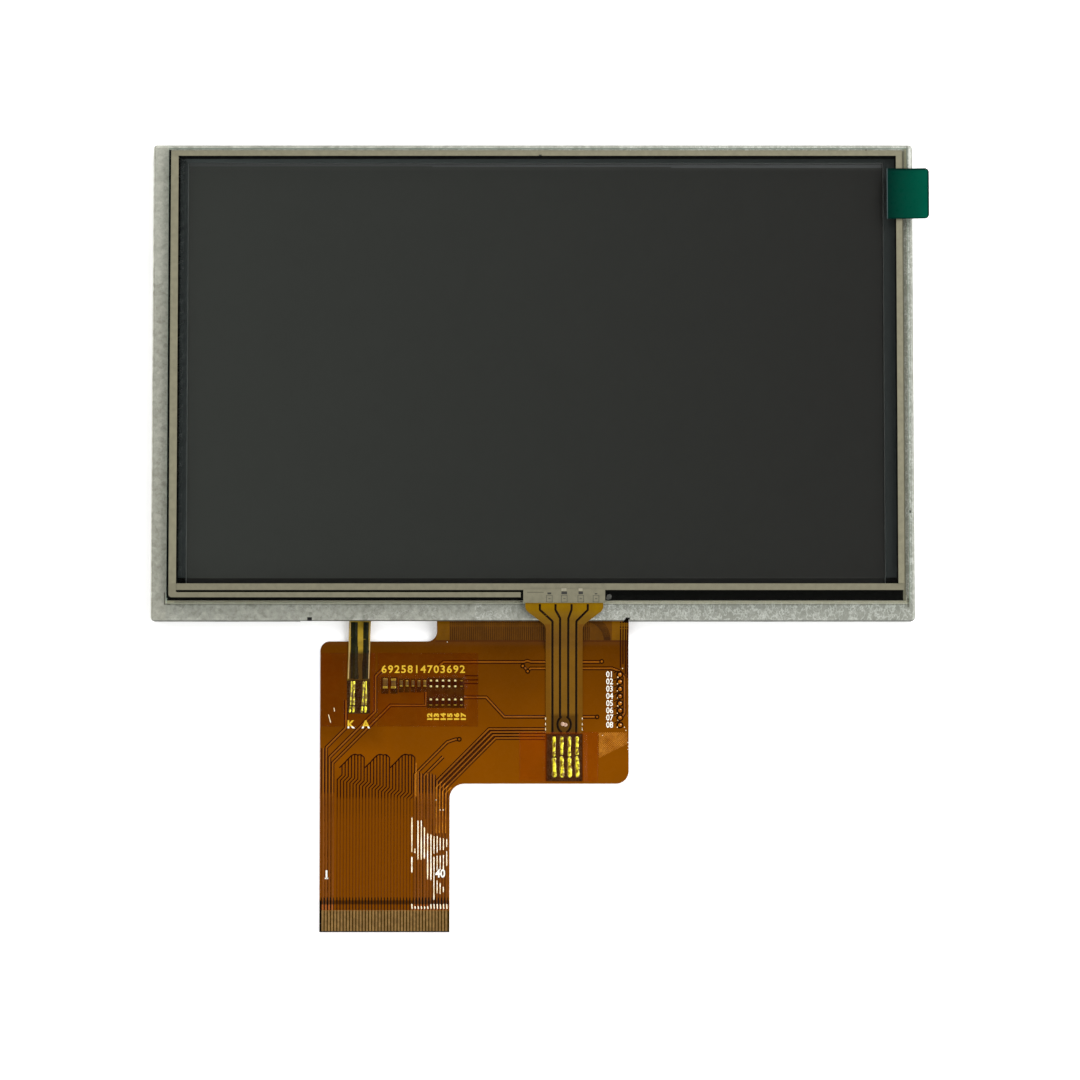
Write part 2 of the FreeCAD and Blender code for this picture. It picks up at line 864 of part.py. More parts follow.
def touch_flex():
    """Touch tail: a wide bonded head that tapers to a narrow stem."""
    half_head = touch_head_width / 2
    half_stem = touch_stem_width / 2
    head_y = touch_outline.bottom - touch_head_drop
    taper_y = touch_outline.bottom - touch_taper_drop
    bond_top = touch_outline.bottom + touch_bond_length
    corners = [
        (touch_tail_x - half_head, bond_top),
        (touch_tail_x - half_head, head_y),
        (touch_tail_x - half_stem, taper_y),
        (touch_tail_x - half_stem, touch_tail_end_y),
        (touch_tail_x + half_stem, touch_tail_end_y),
        (touch_tail_x + half_stem, taper_y),
        (touch_tail_x + half_head, head_y),
        (touch_tail_x + half_head, bond_top)]
    round_corner = touch_taper_radius
    radii = [0, round_corner, round_corner, 0, 0, round_corner, round_corner, 0]
    sheet = bent_strip(
        touch_tail_line(), [0, touch_bend_radius, touch_bend_radius, 0],
        touch_flex_thickness, touch_tail_x - half_head, touch_tail_x + half_head)
    return solid_of(sheet.common(prism(corners, radii, 0, film_print_top)))


def touch_finger_x(index):
    spread = (index - (touch_finger_count - 1) / 2) * touch_finger_pitch
    return touch_tail_x + touch_finger_shift + spread


def touch_flex_fingers():
    """Gold fingers near the stem's end, wetted with solder."""
    low = flex_top + lay_gap + touch_flex_thickness
    bottom = touch_tail_end_y + touch_finger_end_margin
    fingers = []
    for index in range(touch_finger_count):
        x = touch_finger_x(index)
        footprint = Rect(
            x - touch_finger_width / 2, x + touch_finger_width / 2,
            bottom, bottom + touch_finger_length)
        fingers.append(plate(footprint, low, low + touch_finger_height, touch_finger_width / 3))
    return group(fingers)


def draped_tape(outline, hump, hump_height):
    """Thin tape on the flex that rises over what lies beneath, cut off at its own outline."""
    low = flex_top
    sheet = box(outline, low, low + tape_thickness)
    outer = frustum(
        hump.grown(tape_slope_run + tape_thickness), hump.grown(tape_thickness),
        low, low + hump_height + tape_thickness)
    inner = frustum(hump.grown(tape_slope_run), hump, low, low + hump_height)
    limits = box(outline, low, low + hump_height + tape_thickness)
    return solid_of(sheet.fuse(outer).cut(inner).common(limits))


def component_tape():
    """Amber tape over the capacitors and resistors."""
    left = flex_left_x + large_capacitor_inset - large_capacitor_size[0] / 2
    last_resistor = flex_left_x + resistor_inset + (resistor_count - 1) * resistor_pitch
    right = last_resistor + resistor_size[0] / 2
    top = shoulder_y - upper_row_drop + large_capacitor_size[1] / 2
    bottom = shoulder_y - lower_row_drop - resistor_size[1] / 2
    hump = Rect(left, right, bottom, top).grown(tape_clearance)
    height = max(large_capacitor_size[2], small_capacitor_size[2], resistor_size[2])
    return draped_tape(component_tape_outline(), hump, height + tape_clearance)


def backlight_joint_tape():
    """Amber tape over the end of the backlight tail, which runs out under its top edge."""
    components = component_tape_outline()
    outline = Rect(
        flex_left_x + joint_tape_left, components.left - joint_tape_gap,
        components.bottom, components.top)
    half = backlight_tail_width / 2 + tape_clearance
    hump = Rect(
        backlight_tail_x - backlight_tail_lean - half,
        backlight_tail_x + half,
        backlight_tail_end_y - backlight_finger_length - tape_clearance - lay_gap,
        outline.top + backlight_tail_width)
    return draped_tape(outline, hump, backlight_flex_thickness + lay_gap + tape_clearance)


def touch_joint_tape():
    """Amber tape over the touch tail's soldered end."""
    half = touch_stem_width / 2
    bottom = touch_tail_end_y - touch_tape_bottom
    outline = Rect(
        touch_tail_x - half - touch_tape_side, touch_tail_x + half + touch_tape_side,
        bottom, bottom + touch_tape_height)
    hump = Rect(
        touch_tail_x - half - tape_clearance, touch_tail_x + half + tape_clearance,
        touch_tail_end_y - tape_clearance, outline.top + touch_tape_side)
    height = lay_gap + touch_flex_thickness + touch_finger_height + tape_clearance
    return draped_tape(outline, hump, height)


parts = {
    "rear_cover": rear_cover,
    "reflector_sheet": reflector_sheet,
    "light_guide": light_guide,
    "backlight_leds": backlight_leds,
    "backlight_flex": backlight_flex,
    "backlight_joints": backlight_joints,
    "diffuser_sheet": diffuser_sheet,
    "lower_prism_sheet": lower_prism_sheet,
    "upper_prism_sheet": upper_prism_sheet,
    "mould_frame": mould_frame,
    "rim_tape": rim_tape,
    "rear_polarizer": rear_polarizer,
    "array_glass": array_glass,
    "filter_glass": filter_glass,
    "front_polarizer": front_polarizer,
    "source_driver_chip": source_driver_chip,
    "gate_driver_chip": gate_driver_chip,
    "front_bezel": front_bezel,
    "panel_mount_tape": panel_mount_tape,
    "touch_glass": touch_glass,
    "glass_silver_print": glass_silver_print,
    "touch_spacer_tape": touch_spacer_tape,
    "film_silver_print": film_silver_print,
    "touch_film": touch_film,
    "protective_film": protective_film,
    "pull_tab": pull_tab,
    "main_flex": main_flex,
    "connector_fingers": connector_fingers,
    "tail_stiffener": tail_stiffener,
    "component_stiffener": component_stiffener,
    "large_capacitors": large_capacitors,
    "small_capacitors": small_capacitors,
    "chip_resistors": chip_resistors,
    "test_pads": test_pads,
    "touch_flex": touch_flex,
    "touch_flex_fingers": touch_flex_fingers,
    "component_tape": component_tape,
    "backlight_joint_tape": backlight_joint_tape,
    "touch_joint_tape": touch_joint_tape,
}


def main():
    os.makedirs("parts", exist_ok=True)
    for name, make in parts.items():
        make().exportStep(os.path.join("parts", name + ".step"))


main()
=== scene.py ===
import math
import random

import bmesh
import bpy
from bpy.props import FloatProperty, FloatVectorProperty, IntProperty, PointerProperty
from mathutils import Matrix, Vector
from mathutils.bvhtree import BVHTree


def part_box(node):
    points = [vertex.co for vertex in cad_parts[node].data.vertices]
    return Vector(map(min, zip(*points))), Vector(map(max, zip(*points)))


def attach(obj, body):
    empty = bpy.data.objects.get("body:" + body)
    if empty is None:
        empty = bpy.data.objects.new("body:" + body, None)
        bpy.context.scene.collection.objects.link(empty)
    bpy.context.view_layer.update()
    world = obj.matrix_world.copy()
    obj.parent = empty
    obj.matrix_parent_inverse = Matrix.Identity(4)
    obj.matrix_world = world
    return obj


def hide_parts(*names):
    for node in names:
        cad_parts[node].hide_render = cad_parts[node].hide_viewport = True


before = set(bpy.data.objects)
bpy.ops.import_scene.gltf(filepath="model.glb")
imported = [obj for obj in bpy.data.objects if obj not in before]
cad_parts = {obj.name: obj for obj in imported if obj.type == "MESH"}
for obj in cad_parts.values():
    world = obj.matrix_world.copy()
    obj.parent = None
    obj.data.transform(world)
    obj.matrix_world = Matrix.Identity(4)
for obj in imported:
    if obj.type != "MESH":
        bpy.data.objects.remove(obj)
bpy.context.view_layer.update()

bl_info = {
    "name": "Touch Display Module",
    "version": (1, 0, 0),
    "blender": (4, 5, 0),
    "location": "View3D > Sidebar > Display Module",
    "description": "Dresses a five-inch touch display module and sets its stage",
    "category": "Object",
}

# Lengths that are written in millimetres are multiplied by this
MM = 0.001

# How far a thin mark reaches into what it lies on
SINK = 4e-6

# Height from which rays fall on the module
ABOVE = 0.05

# Height of a capital letter as a share of the font's size
LETTER_SHARE = 0.72

# Places that the frame gives
FINGERS_LOW, FINGERS_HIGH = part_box("connector_fingers")
TAIL_END = FINGERS_HIGH.y / MM
PANEL_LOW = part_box("touch_glass")[0]
PARTS_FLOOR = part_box("chip_resistors")[0].z


def paint(red, green, blue):
    """Linear colour with full alpha from display values of 0 to 255."""
    shares = [value / 255 for value in (red, green, blue)]
    linear = [s / 12.92 if s <= 0.04045 else ((s + 0.055) / 1.055) ** 2.4 for s in shares]
    return (*linear, 1.0)


def colour_property(name, description, red, green, blue):
    """A colour that the user can change, with its default from display values."""
    return FloatVectorProperty(
        name=name, description=description, subtype="COLOR", size=4,
        min=0.0, max=1.0, default=paint(red, green, blue))


def length_property(name, description, millimetres):
    """A length that the user can change, with its default from millimetres."""
    return FloatProperty(
        name=name, description=description, default=millimetres * MM, min=0.0,
        precision=5, unit="LENGTH")


class SteelSettings(bpy.types.PropertyGroup):
    """Colours and grain of the pressed steel shells."""
    zinc_light: colour_property("Light zinc", "Bright crystals of the zinc", 184, 185, 173)
    zinc_dark: colour_property("Dark zinc", "Dull crystals of the zinc", 128, 129, 118)
    crystal_size: length_property("Crystal size", "Width of one zinc crystal", 0.8)


class PanelSettings(bpy.types.PropertyGroup):
    """Colours of the display and the touch panel."""
    # The screen runs from lighter at its left end to darker at its right: painted shading of the
    # light across it.
    screen_left: colour_property("Screen, left", "Screen colour at its left end", 41, 43, 40)
    screen_right: colour_property("Screen, right", "Screen colour at its right end", 26, 26, 24)
    silver: colour_property("Silver ink", "Printed silver bars", 121, 117, 96)
    # The border's grey is a painted reflection of the touch film over the black tape.
    border_reflection: colour_property("Border", "Mounting tape seen inside the silver frame", 44, 48, 47)
    # The tab is darker where it lies on the film and lighter past the edge: painted light shining
    # through it from behind.
    tab_inner: colour_property("Tab, inner", "Green tab where it lies on the film", 0, 31, 25)
    tab_outer: colour_property("Tab, outer", "Green tab past the edge", 0, 74, 56)


class FlexSettings(bpy.types.PropertyGroup):
    """Colours and widths on the flexible circuits."""
    amber: colour_property("Amber", "Lower body of the flexible circuit", 114, 61, 0)
    upper_amber: colour_property("Upper amber", "Flexible circuit near the steel", 82, 43, 0)
    tail_amber: colour_property("Tail amber", "Contact tail of the flexible circuit", 104, 55, 0)
    neck_brown: colour_property("Neck", "Bend at the neck, over its fine lines", 90, 53, 3)
    trace: colour_property("Trace", "Copper trace seen through the cover film", 126, 70, 2)
    gap: colour_property("Gap", "Etched gap beside a trace", 38, 6, 0)
    side_gap: colour_property("Outer tail gap", "Etched gap beside the tail's sides", 52, 20, 0)
    tail_gap: colour_property("Tail gap", "Etched gap on the lower tail", 76, 36, 0)
    trace_width: length_property("Trace width", "Width of one copper trace", 0.27)
    gap_width: length_property("Gap width", "Width of the gap beside a trace", 0.17)
    trace_height: length_property("Trace height", "How far a trace stands up", 0.014)
    gap_height: length_property("Gap height", "How far the gap colour stands up", 0.006)
    pins: IntProperty(name="Pins", description="Traces on the tail", default=40, min=2)
    pin_width: length_property("Pin width", "Width of one contact finger", 0.32)


class PrintSettings(bpy.types.PropertyGroup):
    """Printed numbers on the flexible circuit."""
    white: colour_property("White ink", "Numbers on the tail and at the test points", 236, 236, 226)
    yellow: colour_property("Yellow ink", "Numbers seen through the amber tape", 236, 198, 36)
    pin_number: length_property("Pin number height", "Height of the pin numbers", 1.25)
    part_number: length_property("Part number height", "Height of the numbers at the parts", 1.2)
    pad_number: length_property("Pad number height", "Height of the numbers at the pads", 0.95)


class StageSettings(bpy.types.PropertyGroup):
    """Camera, floor and lights."""
    distance: FloatProperty(
        name="Camera distance", description="From the camera to its aim", default=0.6,
        unit="LENGTH")
    tilt: FloatProperty(
        name="Camera tilt", description="How far the camera leans towards the tail",
        default=math.radians(3.78), unit="ROTATION")
    aim: FloatVectorProperty(
        name="Camera aim", description="Point in the middle of the picture",
        default=(0.00113, -0.02503, 0.002), unit="LENGTH")
    lens: FloatProperty(name="Lens", description="Focal length in millimetres", default=126.4)
    key_power: FloatProperty(name="Key light", description="Power in watts", default=2.6)
    strip_power: FloatProperty(name="Strip light", description="Power in watts", default=1.1)
    floor: colour_property("Floor", "Colour of the pale floor", 252, 252, 252)


class Wiring:
    """A node tree, with short ways to add a node and to feed its sockets."""

    def __init__(self, tree):
        self.tree = tree

    def add(self, kind, feeds=None, **settings):
        node = self.tree.nodes.new(kind)
        for name, value in settings.items():
            setattr(node, name, value)
        self.send(node, feeds or {})
        return node

    def feed(self, socket, value):
        if isinstance(value, bpy.types.NodeSocket):
            self.tree.links.new(value, socket)
        else:
            socket.default_value = value

    def send(self, node, feeds):
        for name, value in feeds.items():
            self.feed(node.inputs[name], value)

    def math(self, operation, *values):
        node = self.add("ShaderNodeMath", operation=operation)
        for socket, value in zip(node.inputs, values):
            self.feed(socket, value)
        return node.outputs[0]

    def clamp(self, value):
        return self.add("ShaderNodeClamp", {"Value": value}).outputs[0]

    def spread(self, value, low, high, start=0.0, end=1.0):
        """Maps a value from low..high to start..end, and stops at both ends."""
        node = self.add("ShaderNodeMapRange", {
            "Value": value, "From Min": low, "From Max": high, "To Min": start, "To Max": end})
        return node.outputs["Result"]

    def blend(self, mask, first, second):
        """Mixes two colours by a mask."""
        node = self.add("ShaderNodeMix", data_type="RGBA")
        for index, value in ((0, mask), (6, first), (7, second)):
            self.feed(node.inputs[index], value)
        return node.outputs[2]

    def place(self):
        return self.add("ShaderNodeTexCoord").outputs["Object"]

    def axis(self, name, vector=None):
        """One coordinate of a vector, by default of the place in the object."""
        if vector is None:
            vector = self.place()
        return self.add("ShaderNodeSeparateXYZ", {"Vector": vector}).outputs[name]

    def stretch(self, vector, scale):
        node = self.add("ShaderNodeMapping", {"Vector": vector, "Scale": scale})
        return node.outputs["Vector"]

    def noise(self, vector, scale, detail=2.0, roughness=0.5):
        node = self.add("ShaderNodeTexNoise", {
            "Vector": vector, "Scale": scale, "Detail": detail, "Roughness": roughness})
        return node.outputs[0]

    def bump(self, height, strength, distance):
        node = self.add("ShaderNodeBump", {
            "Strength": strength, "Distance": distance, "Height": height})
        return node.outputs["Normal"]


def new_group(name, kind, inputs, outputs):
    """An empty node group, as (wiring, sockets that come in, output node).

    An input with a number gets a socket with that default. A text is the socket's kind.
    """
    group = bpy.data.node_groups.new(name, kind)
    for label, default in inputs.items():
        has_default = not isinstance(default, str)
        socket_kind = ("Int" if isinstance(default, int) else "Float") if has_default else default
        socket = group.interface.new_socket(
            name=label, in_out="INPUT", socket_type="NodeSocket" + socket_kind)
        if has_default:
            socket.default_value = default
    for label, socket_kind in outputs.items():
        group.interface.new_socket(
            name=label, in_out="OUTPUT", socket_type="NodeSocket" + socket_kind)
    wiring = Wiring(group)
    return wiring, wiring.add("NodeGroupInput").outputs, wiring.add("NodeGroupOutput")


def grain_group():
    """Fine uneven surface: a mask for roughness or colour, and a bumped normal."""
    wiring, given, outlet = new_group(
        "Surface Grain", "ShaderNodeTree",
        {"Scale": 3000.0, "Detail": 3.0, "Strength": 0.3, "Depth": 0.00002},
        {"Mask": "Float", "Normal": "Vector"})
    height = wiring.noise(wiring.place(), given["Scale"], given["Detail"])
    wiring.send(outlet, {
        "Mask": height, "Normal": wiring.bump(height, given["Strength"], given["Depth"])})


def drift_group():
    """Slow change from one colour to another in soft patches."""
    wiring, given, outlet = new_group(
        "Colour Drift", "ShaderNodeTree",
        {"First": "Color", "Second": "Color", "Scale": 300.0, "Low": 0.35, "High": 0.65},
        {"Color": "Color", "Mask": "Float"})
    noise = wiring.noise(wiring.place(), given["Scale"], 3.0)
    mask = wiring.spread(noise, given["Low"], given["High"])
    wiring.send(outlet, {
        "Color": wiring.blend(mask, given["First"], given["Second"]), "Mask": mask})


def zone_group():
    """Mask that is one inside a rectangle in plan, with soft sides."""
    wiring, given, outlet = new_group(
        "Plan Zone", "ShaderNodeTree",
        {"Left": -1.0, "Right": 1.0, "Bottom": -1.0, "Top": 1.0, "Softness": 0.0001},
        {"Mask": "Float"})
    depths = []
    for axis, low, high in (("X", "Left", "Right"), ("Y", "Bottom", "Top")):
        place = wiring.axis(axis)
        depths.append(wiring.math(
            "MINIMUM", wiring.math("SUBTRACT", place, given[low]),
            wiring.math("SUBTRACT", given[high], place)))
    share = wiring.math("DIVIDE", wiring.math("MINIMUM", *depths), given["Softness"])
    wiring.send(outlet, {"Mask": wiring.clamp(wiring.math("ADD", share, 0.5))})


def spangle_group():
    """Zinc crystals: a fine mottled mask, frosty squiggles on it, and its bump."""
    wiring, given, outlet = new_group(
        "Zinc Spangle", "ShaderNodeTree", {"Crystal": 700.0},
        {"Mask": "Float", "Frost": "Float", "Normal": "Vector"})
    place = wiring.place()
    scale = given["Crystal"]
    mottle = wiring.noise(place, wiring.math("MULTIPLY", scale, 0.8), 5.0, 0.62)
    cells = wiring.add("ShaderNodeTexVoronoi", {"Vector": place, "Scale": scale, "Randomness": 1.0})
    patch = wiring.add("ShaderNodeSeparateColor", {"Color": cells.outputs["Color"]}).outputs[0]
    mixed = wiring.math("ADD", wiring.math("MULTIPLY", patch, 0.22), mottle)
    contour = wiring.noise(place, wiring.math("MULTIPLY", scale, 0.55), 3.0, 0.6)
    away = wiring.math("ABSOLUTE", wiring.math("SUBTRACT", contour, 0.5))
    squiggle = wiring.spread(away, 0.003, 0.025, 1.0, 0.0)
    patches = wiring.spread(wiring.noise(place, 150.0, 4.0), 0.42, 0.6)
    wiring.send(outlet, {
        "Mask": wiring.spread(mixed, 0.4, 0.85),
        "Frost": wiring.math("MULTIPLY", squiggle, patches),
        "Normal": wiring.bump(mixed, 0.3, 0.00002)})


class Finish(Wiring):
    """A material with one Principled surface, built up from shared effects."""

    def __init__(self, name, shine=0.5, **constants):
        self.material = bpy.data.materials.new(name)
        self.material.use_nodes = True
        super().__init__(self.material.node_tree)
        self.surface = self.tree.nodes["Principled BSDF"]
        self.put("Specular IOR Level", shine)
        for label, value in constants.items():
            self.put(label.replace("_", " "), value)

    def put(self, label, value):
        self.feed(self.surface.inputs[label], value)

    def effect(self, name, **feeds):
        node = self.add("ShaderNodeGroup", node_tree=bpy.data.node_groups[name])
        self.send(node, feeds)
        return node

    def drift(self, first, second, scale=300.0, low=0.35, high=0.65):
        node = self.effect(
            "Colour Drift", First=first, Second=second, Scale=scale, Low=low, High=high)
        return node.outputs["Color"]

    def zone(self, left, right, bottom, top, softness=0.1):
        """Mask of a rectangle in plan, with its sides in millimetres."""
        node = self.effect(
            "Plan Zone", Left=left * MM, Right=right * MM, Bottom=bottom * MM, Top=top * MM,
            Softness=softness * MM)
        return node.outputs["Mask"]

    def patched(self, body, patches):
        """Colour with rectangles of (left, right, bottom, top, softness, share, colour) laid over."""
        for left, right, bottom, top, softness, share, colour in patches:
            mask = self.zone(left, right, bottom, top, softness)
            if share < 1:
                mask = self.math("MULTIPLY", mask, share)
            body = self.blend(mask, body, colour)
        return body

    def grain(self, scale, strength=0.3, depth=0.02, low=0.35, high=0.55):
        """Bump and uneven roughness; the depth is in millimetres."""
        node = self.effect(
            "Surface Grain", Scale=scale, Strength=strength, Depth=depth * MM)
        self.put("Normal", node.outputs["Normal"])
        self.put("Roughness", self.spread(node.outputs["Mask"], 0.3, 0.7, low, high))

    def coat(self, colour, *grain):
        """Gives the surface its colour and grain, and returns the material."""
        self.put("Base Color", colour)
        self.grain(*grain)
        return self.material


def shade(colour, share):
    """A colour made darker or lighter by a share."""
    return (*[min(1.0, channel * share) for channel in colour[:3]], 1.0)


def dress(nodes, material):
    """Gives CAD nodes a finish through their material slots."""
    for name in nodes:
        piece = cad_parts[name]
        if not piece.material_slots:
            piece.data.materials.append(material)
        for slot in piece.material_slots:
            slot.material = material


def plan(node):
    """Left, right, bottom and top of a CAD node in millimetres."""
    low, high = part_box(node)
    return low.x / MM, high.x / MM, low.y / MM, high.y / MM


def shown(name, data):
    """New object with the given data, linked in the scene."""
    holder = bpy.data.objects.new(name, data)
    bpy.context.collection.objects.link(holder)
    return holder


def baked(holder):
    """Plain mesh of an object as it shows; the object is removed."""
    depsgraph = bpy.context.evaluated_depsgraph_get()
    mesh = bpy.data.meshes.new_from_object(holder.evaluated_get(depsgraph), depsgraph=depsgraph)
    bpy.data.objects.remove(holder)
    return mesh


def new_piece(name, mesh, material, stands_for=()):
    """Shows a mesh as one piece that rides on the module."""
    mesh.name = name
    mesh.materials.clear()
    mesh.materials.append(material)
    piece = shown(name, mesh)
    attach(piece, "root")
    if stands_for:
        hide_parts(*stands_for)
    return piece


def mesh_from(builder, name="shape"):
    mesh = bpy.data.meshes.new(name)
    builder.to_mesh(mesh)
    builder.free()
    return mesh


def closed(builder, smooth=None):
    """Mesh of a closed shape with its faces turned out, smooth where the rule says so."""
    bmesh.ops.recalc_face_normals(builder, faces=builder.faces)
    if smooth:
        for face in builder.faces:
            face.smooth = smooth(face)
    return mesh_from(builder)


def bridge(builder, rings):
    """Adds the faces between each ring of corners and the next."""
    for here, there in zip(rings, rings[1:]):
        for index in range(len(here)):
            after = (index + 1) % len(here)
            builder.faces.new((here[index], here[after], there[after], there[index]))


def joined(meshes):
    """One mesh from several, which are then removed."""
    builder = bmesh.new()
    for mesh in meshes:
        builder.from_mesh(mesh)
        bpy.data.meshes.remove(mesh)
    return mesh_from(builder)


def grown(source_mesh, tree_name, values):
    """Runs a geometry tree on a mesh and keeps the result as a plain mesh."""
    source = shown("source", source_mesh)
    tree = bpy.data.node_groups[tree_name]
    modifier = source.modifiers.new("tree", "NODES")
    modifier.node_group = tree
    for item in tree.interface.items_tree:
        if item.item_type == "SOCKET" and item.in_out == "INPUT" and item.name in values:
            modifier[item.identifier] = values[item.name]
    mesh = baked(source)
    bpy.data.meshes.remove(source_mesh)
    if not mesh.polygons:
        raise RuntimeError(f"{tree_name} made no faces")
    return mesh


def strip_along(wiring, curve, given):
    """Adds a flat level strip along curves."""
    level = wiring.add("GeometryNodeSetCurveNormal", {"Curve": curve.outputs[0]}, mode="Z_UP")
    profile = wiring.add("GeometryNodeCurvePrimitiveQuadrilateral", {
        "Width": given["Width"], "Height": given["Height"]})
    strip = wiring.add("GeometryNodeCurveToMesh", {
        "Curve": level.outputs[0], "Profile Curve": profile.outputs[0], "Fill Caps": True})
    return strip.outputs[0]


def end_tree(wiring, geometry, given, outlet):
    """Ends a geometry tree with real faces in the chosen material."""
    real = wiring.add("GeometryNodeRealizeInstances", {"Geometry": geometry})
    coated = wiring.add("GeometryNodeSetMaterial", {
        "Geometry": real.outputs[0], "Material": given["Material"]})
    wiring.send(outlet, {"Geometry": coated.outputs[0]})


RIBBON_INPUTS = {"Geometry": "Geometry", "Width": 0.0003, "Height": 0.00001, "Material": "Material"}


def ribbon_tree():
    """Flat strip along every route of a wire mesh, lying level."""
    wiring, given, outlet = new_group(
        "Ribbon Along Routes", "GeometryNodeTree", RIBBON_INPUTS, {"Geometry": "Geometry"})
    curve = wiring.add("GeometryNodeMeshToCurve", {"Mesh": given["Geometry"]})
    end_tree(wiring, strip_along(wiring, curve, given), given, outlet)


def laid_ribbon_tree():
    """Flat strip along every route, brought down on a surface across its whole width."""
    wiring, given, outlet = new_group(
        "Ribbon Laid Down", "GeometryNodeTree",
        {**RIBBON_INPUTS, "Surface": "Object", "Step": 0.00015}, {"Geometry": "Geometry"})
    below = wiring.add("GeometryNodeObjectInfo", {"Object": given["Surface"]})
    curve = wiring.add("GeometryNodeMeshToCurve", {"Mesh": given["Geometry"]})
    even = wiring.add("GeometryNodeResampleCurve", {
        "Curve": curve.outputs[0], "Length": given["Step"]}, mode="LENGTH")
    strip = strip_along(wiring, even, given)
    position = wiring.add("GeometryNodeInputPosition").outputs[0]
    here = wiring.add("ShaderNodeSeparateXYZ", {"Vector": position}).outputs
    above = wiring.add("ShaderNodeCombineXYZ", {"X": here["X"], "Y": here["Y"], "Z": ABOVE})
    ray = wiring.add("GeometryNodeRaycast", {
        "Target Geometry": below.outputs["Geometry"], "Source Position": above.outputs[0],
        "Ray Direction": (0, 0, -1), "Ray Length": 2 * ABOVE})
    landed = wiring.axis("Z", ray.outputs["Hit Position"])
    laid = wiring.add("ShaderNodeCombineXYZ", {
        "X": here["X"], "Y": here["Y"], "Z": wiring.math("ADD", landed, here["Z"])})
    moved = wiring.add("GeometryNodeSetPosition", {"Geometry": strip, "Position": laid.outputs[0]})
    end_tree(wiring, moved.outputs[0], given, outlet)


def copies_tree():
    """One shape at every point, each a little different in size, from a fixed seed."""
    wiring, given, outlet = new_group("Copies On Points", "GeometryNodeTree", {
        "Geometry": "Geometry", "Shape": "Object", "Smallest": 0.97, "Largest": 1.0,
        "Seed": 4, "Material": "Material"}, {"Geometry": "Geometry"})
    shape = wiring.add("GeometryNodeObjectInfo", {"Object": given["Shape"]})
    size = wiring.add("FunctionNodeRandomValue", {"Seed": given["Seed"]}, data_type="FLOAT")
    wiring.feed(size.inputs[2], given["Smallest"])
    wiring.feed(size.inputs[3], given["Largest"])
    placed = wiring.add("GeometryNodeInstanceOnPoints", {
        "Points": given["Geometry"], "Instance": shape.outputs["Geometry"],
        "Scale": size.outputs[1]})
    end_tree(wiring, placed.outputs[0], given, outlet)


class Surface:
    """The top of a CAD node, so that what lies on it follows its bends."""

    def __init__(self, node):
        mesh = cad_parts[node].data
        self.tree = BVHTree.FromPolygons(
            [vertex.co.copy() for vertex in mesh.vertices],
            [tuple(polygon.vertices) for polygon in mesh.polygons])

    def height(self, x, y):
        hit = self.tree.ray_cast(Vector((x, y, ABOVE)), Vector((0, 0, -1)))[0]
        if hit is None:
            raise RuntimeError(f"nothing lies under {x / MM:.2f}, {y / MM:.2f}")
        return hit.z

    def drape(self, route, lift, step=0.25):
        """Points of a route in millimetres, laid on the surface and lifted a little."""
        points = []
        for (x, y), (next_x, next_y) in zip(route, route[1:]):
            level = abs(self.height(x * MM, y * MM) - self.height(next_x * MM, next_y * MM))
            bent = level > 1e-6 or self.bends_between(x, y, next_x, next_y)
            count = max(1, int(math.dist((x, y), (next_x, next_y)) / step)) if bent else 1
            for index in range(count):
                share = index / count
                points.append((x + (next_x - x) * share, y + (next_y - y) * share))
        points.append(route[-1])
        return [Vector((x * MM, y * MM, self.height(x * MM, y * MM) + lift)) for x, y in points]

    def bends_between(self, x, y, next_x, next_y):
        middle = self.height((x + next_x) / 2 * MM, (y + next_y) / 2 * MM)
        return abs(middle - self.height(x * MM, y * MM)) > 1e-6

    def spots(self, places, sink=2e-6):
        """Points for places in millimetres, set a little into the surface."""
        return [Vector((x * MM, y * MM, self.height(x * MM, y * MM) - sink)) for x, y in places]


def wire_mesh(lines):
    """Mesh of edges only, one chain for each line of points."""
    builder = bmesh.new()
    for line in lines:
        chain = [builder.verts.new(point) for point in line]
        for first, second in zip(chain, chain[1:]):
            builder.edges.new((first, second))
    return mesh_from(builder, "wires")


def ribbons(routes, surface, width, height, material):
    """Flat strips along routes in millimetres, set a little into the surface."""
    lift = height / 2 - SINK
    lines = [surface.drape(route, lift) for route in routes]
    return grown(wire_mesh(lines), "Ribbon Along Routes", {
        "Width": width, "Height": height, "Material": material})


def ribbon_piece(name, routes, surface, width, height, material):
    """Shows ribbons along routes as one piece on a film."""
    mesh = ribbons(routes, surface, width, height, material)
    return new_piece(name, mesh, material)


def laid_ribbons(routes, node, width, height, material):
    """Flat strips along routes in millimetres that follow a CAD node's slopes."""
    lines = [[Vector((x * MM, y * MM, 0)) for x, y in route] for route in routes]
    return grown(wire_mesh(lines), "Ribbon Laid Down", {
        "Surface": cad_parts[node], "Width": width, "Height": height,
        "Material": material})


def copies(points, shape_mesh, material, smallest=0.97, seed=4):
    """Copies of a shape at points, by the shared tree."""
    shape = shown("shape", shape_mesh)
    mesh = grown(wire_mesh([[point] for point in points]), "Copies On Points", {
        "Shape": shape, "Smallest": smallest, "Seed": seed, "Material": material})
    bpy.data.objects.remove(shape)
    bpy.data.meshes.remove(shape_mesh)
    return mesh


def rounded_block(width, length, height, radius, segments=3):
    """Block with rounded edges that stands on zero height."""
    builder = bmesh.new()
    bmesh.ops.create_cube(builder, size=1.0)
    bmesh.ops.scale(builder, vec=(width, length, height), verts=builder.verts)
    bmesh.ops.translate(builder, vec=(0, 0, height / 2), verts=builder.verts)
    upper = [edge for edge in builder.edges if max(v.co.z for v in edge.verts) > height / 2]
    bmesh.ops.bevel(
        builder, geom=upper, offset=radius, segments=segments, profile=0.5, affect="EDGES")
    return closed(builder, lambda face: True)


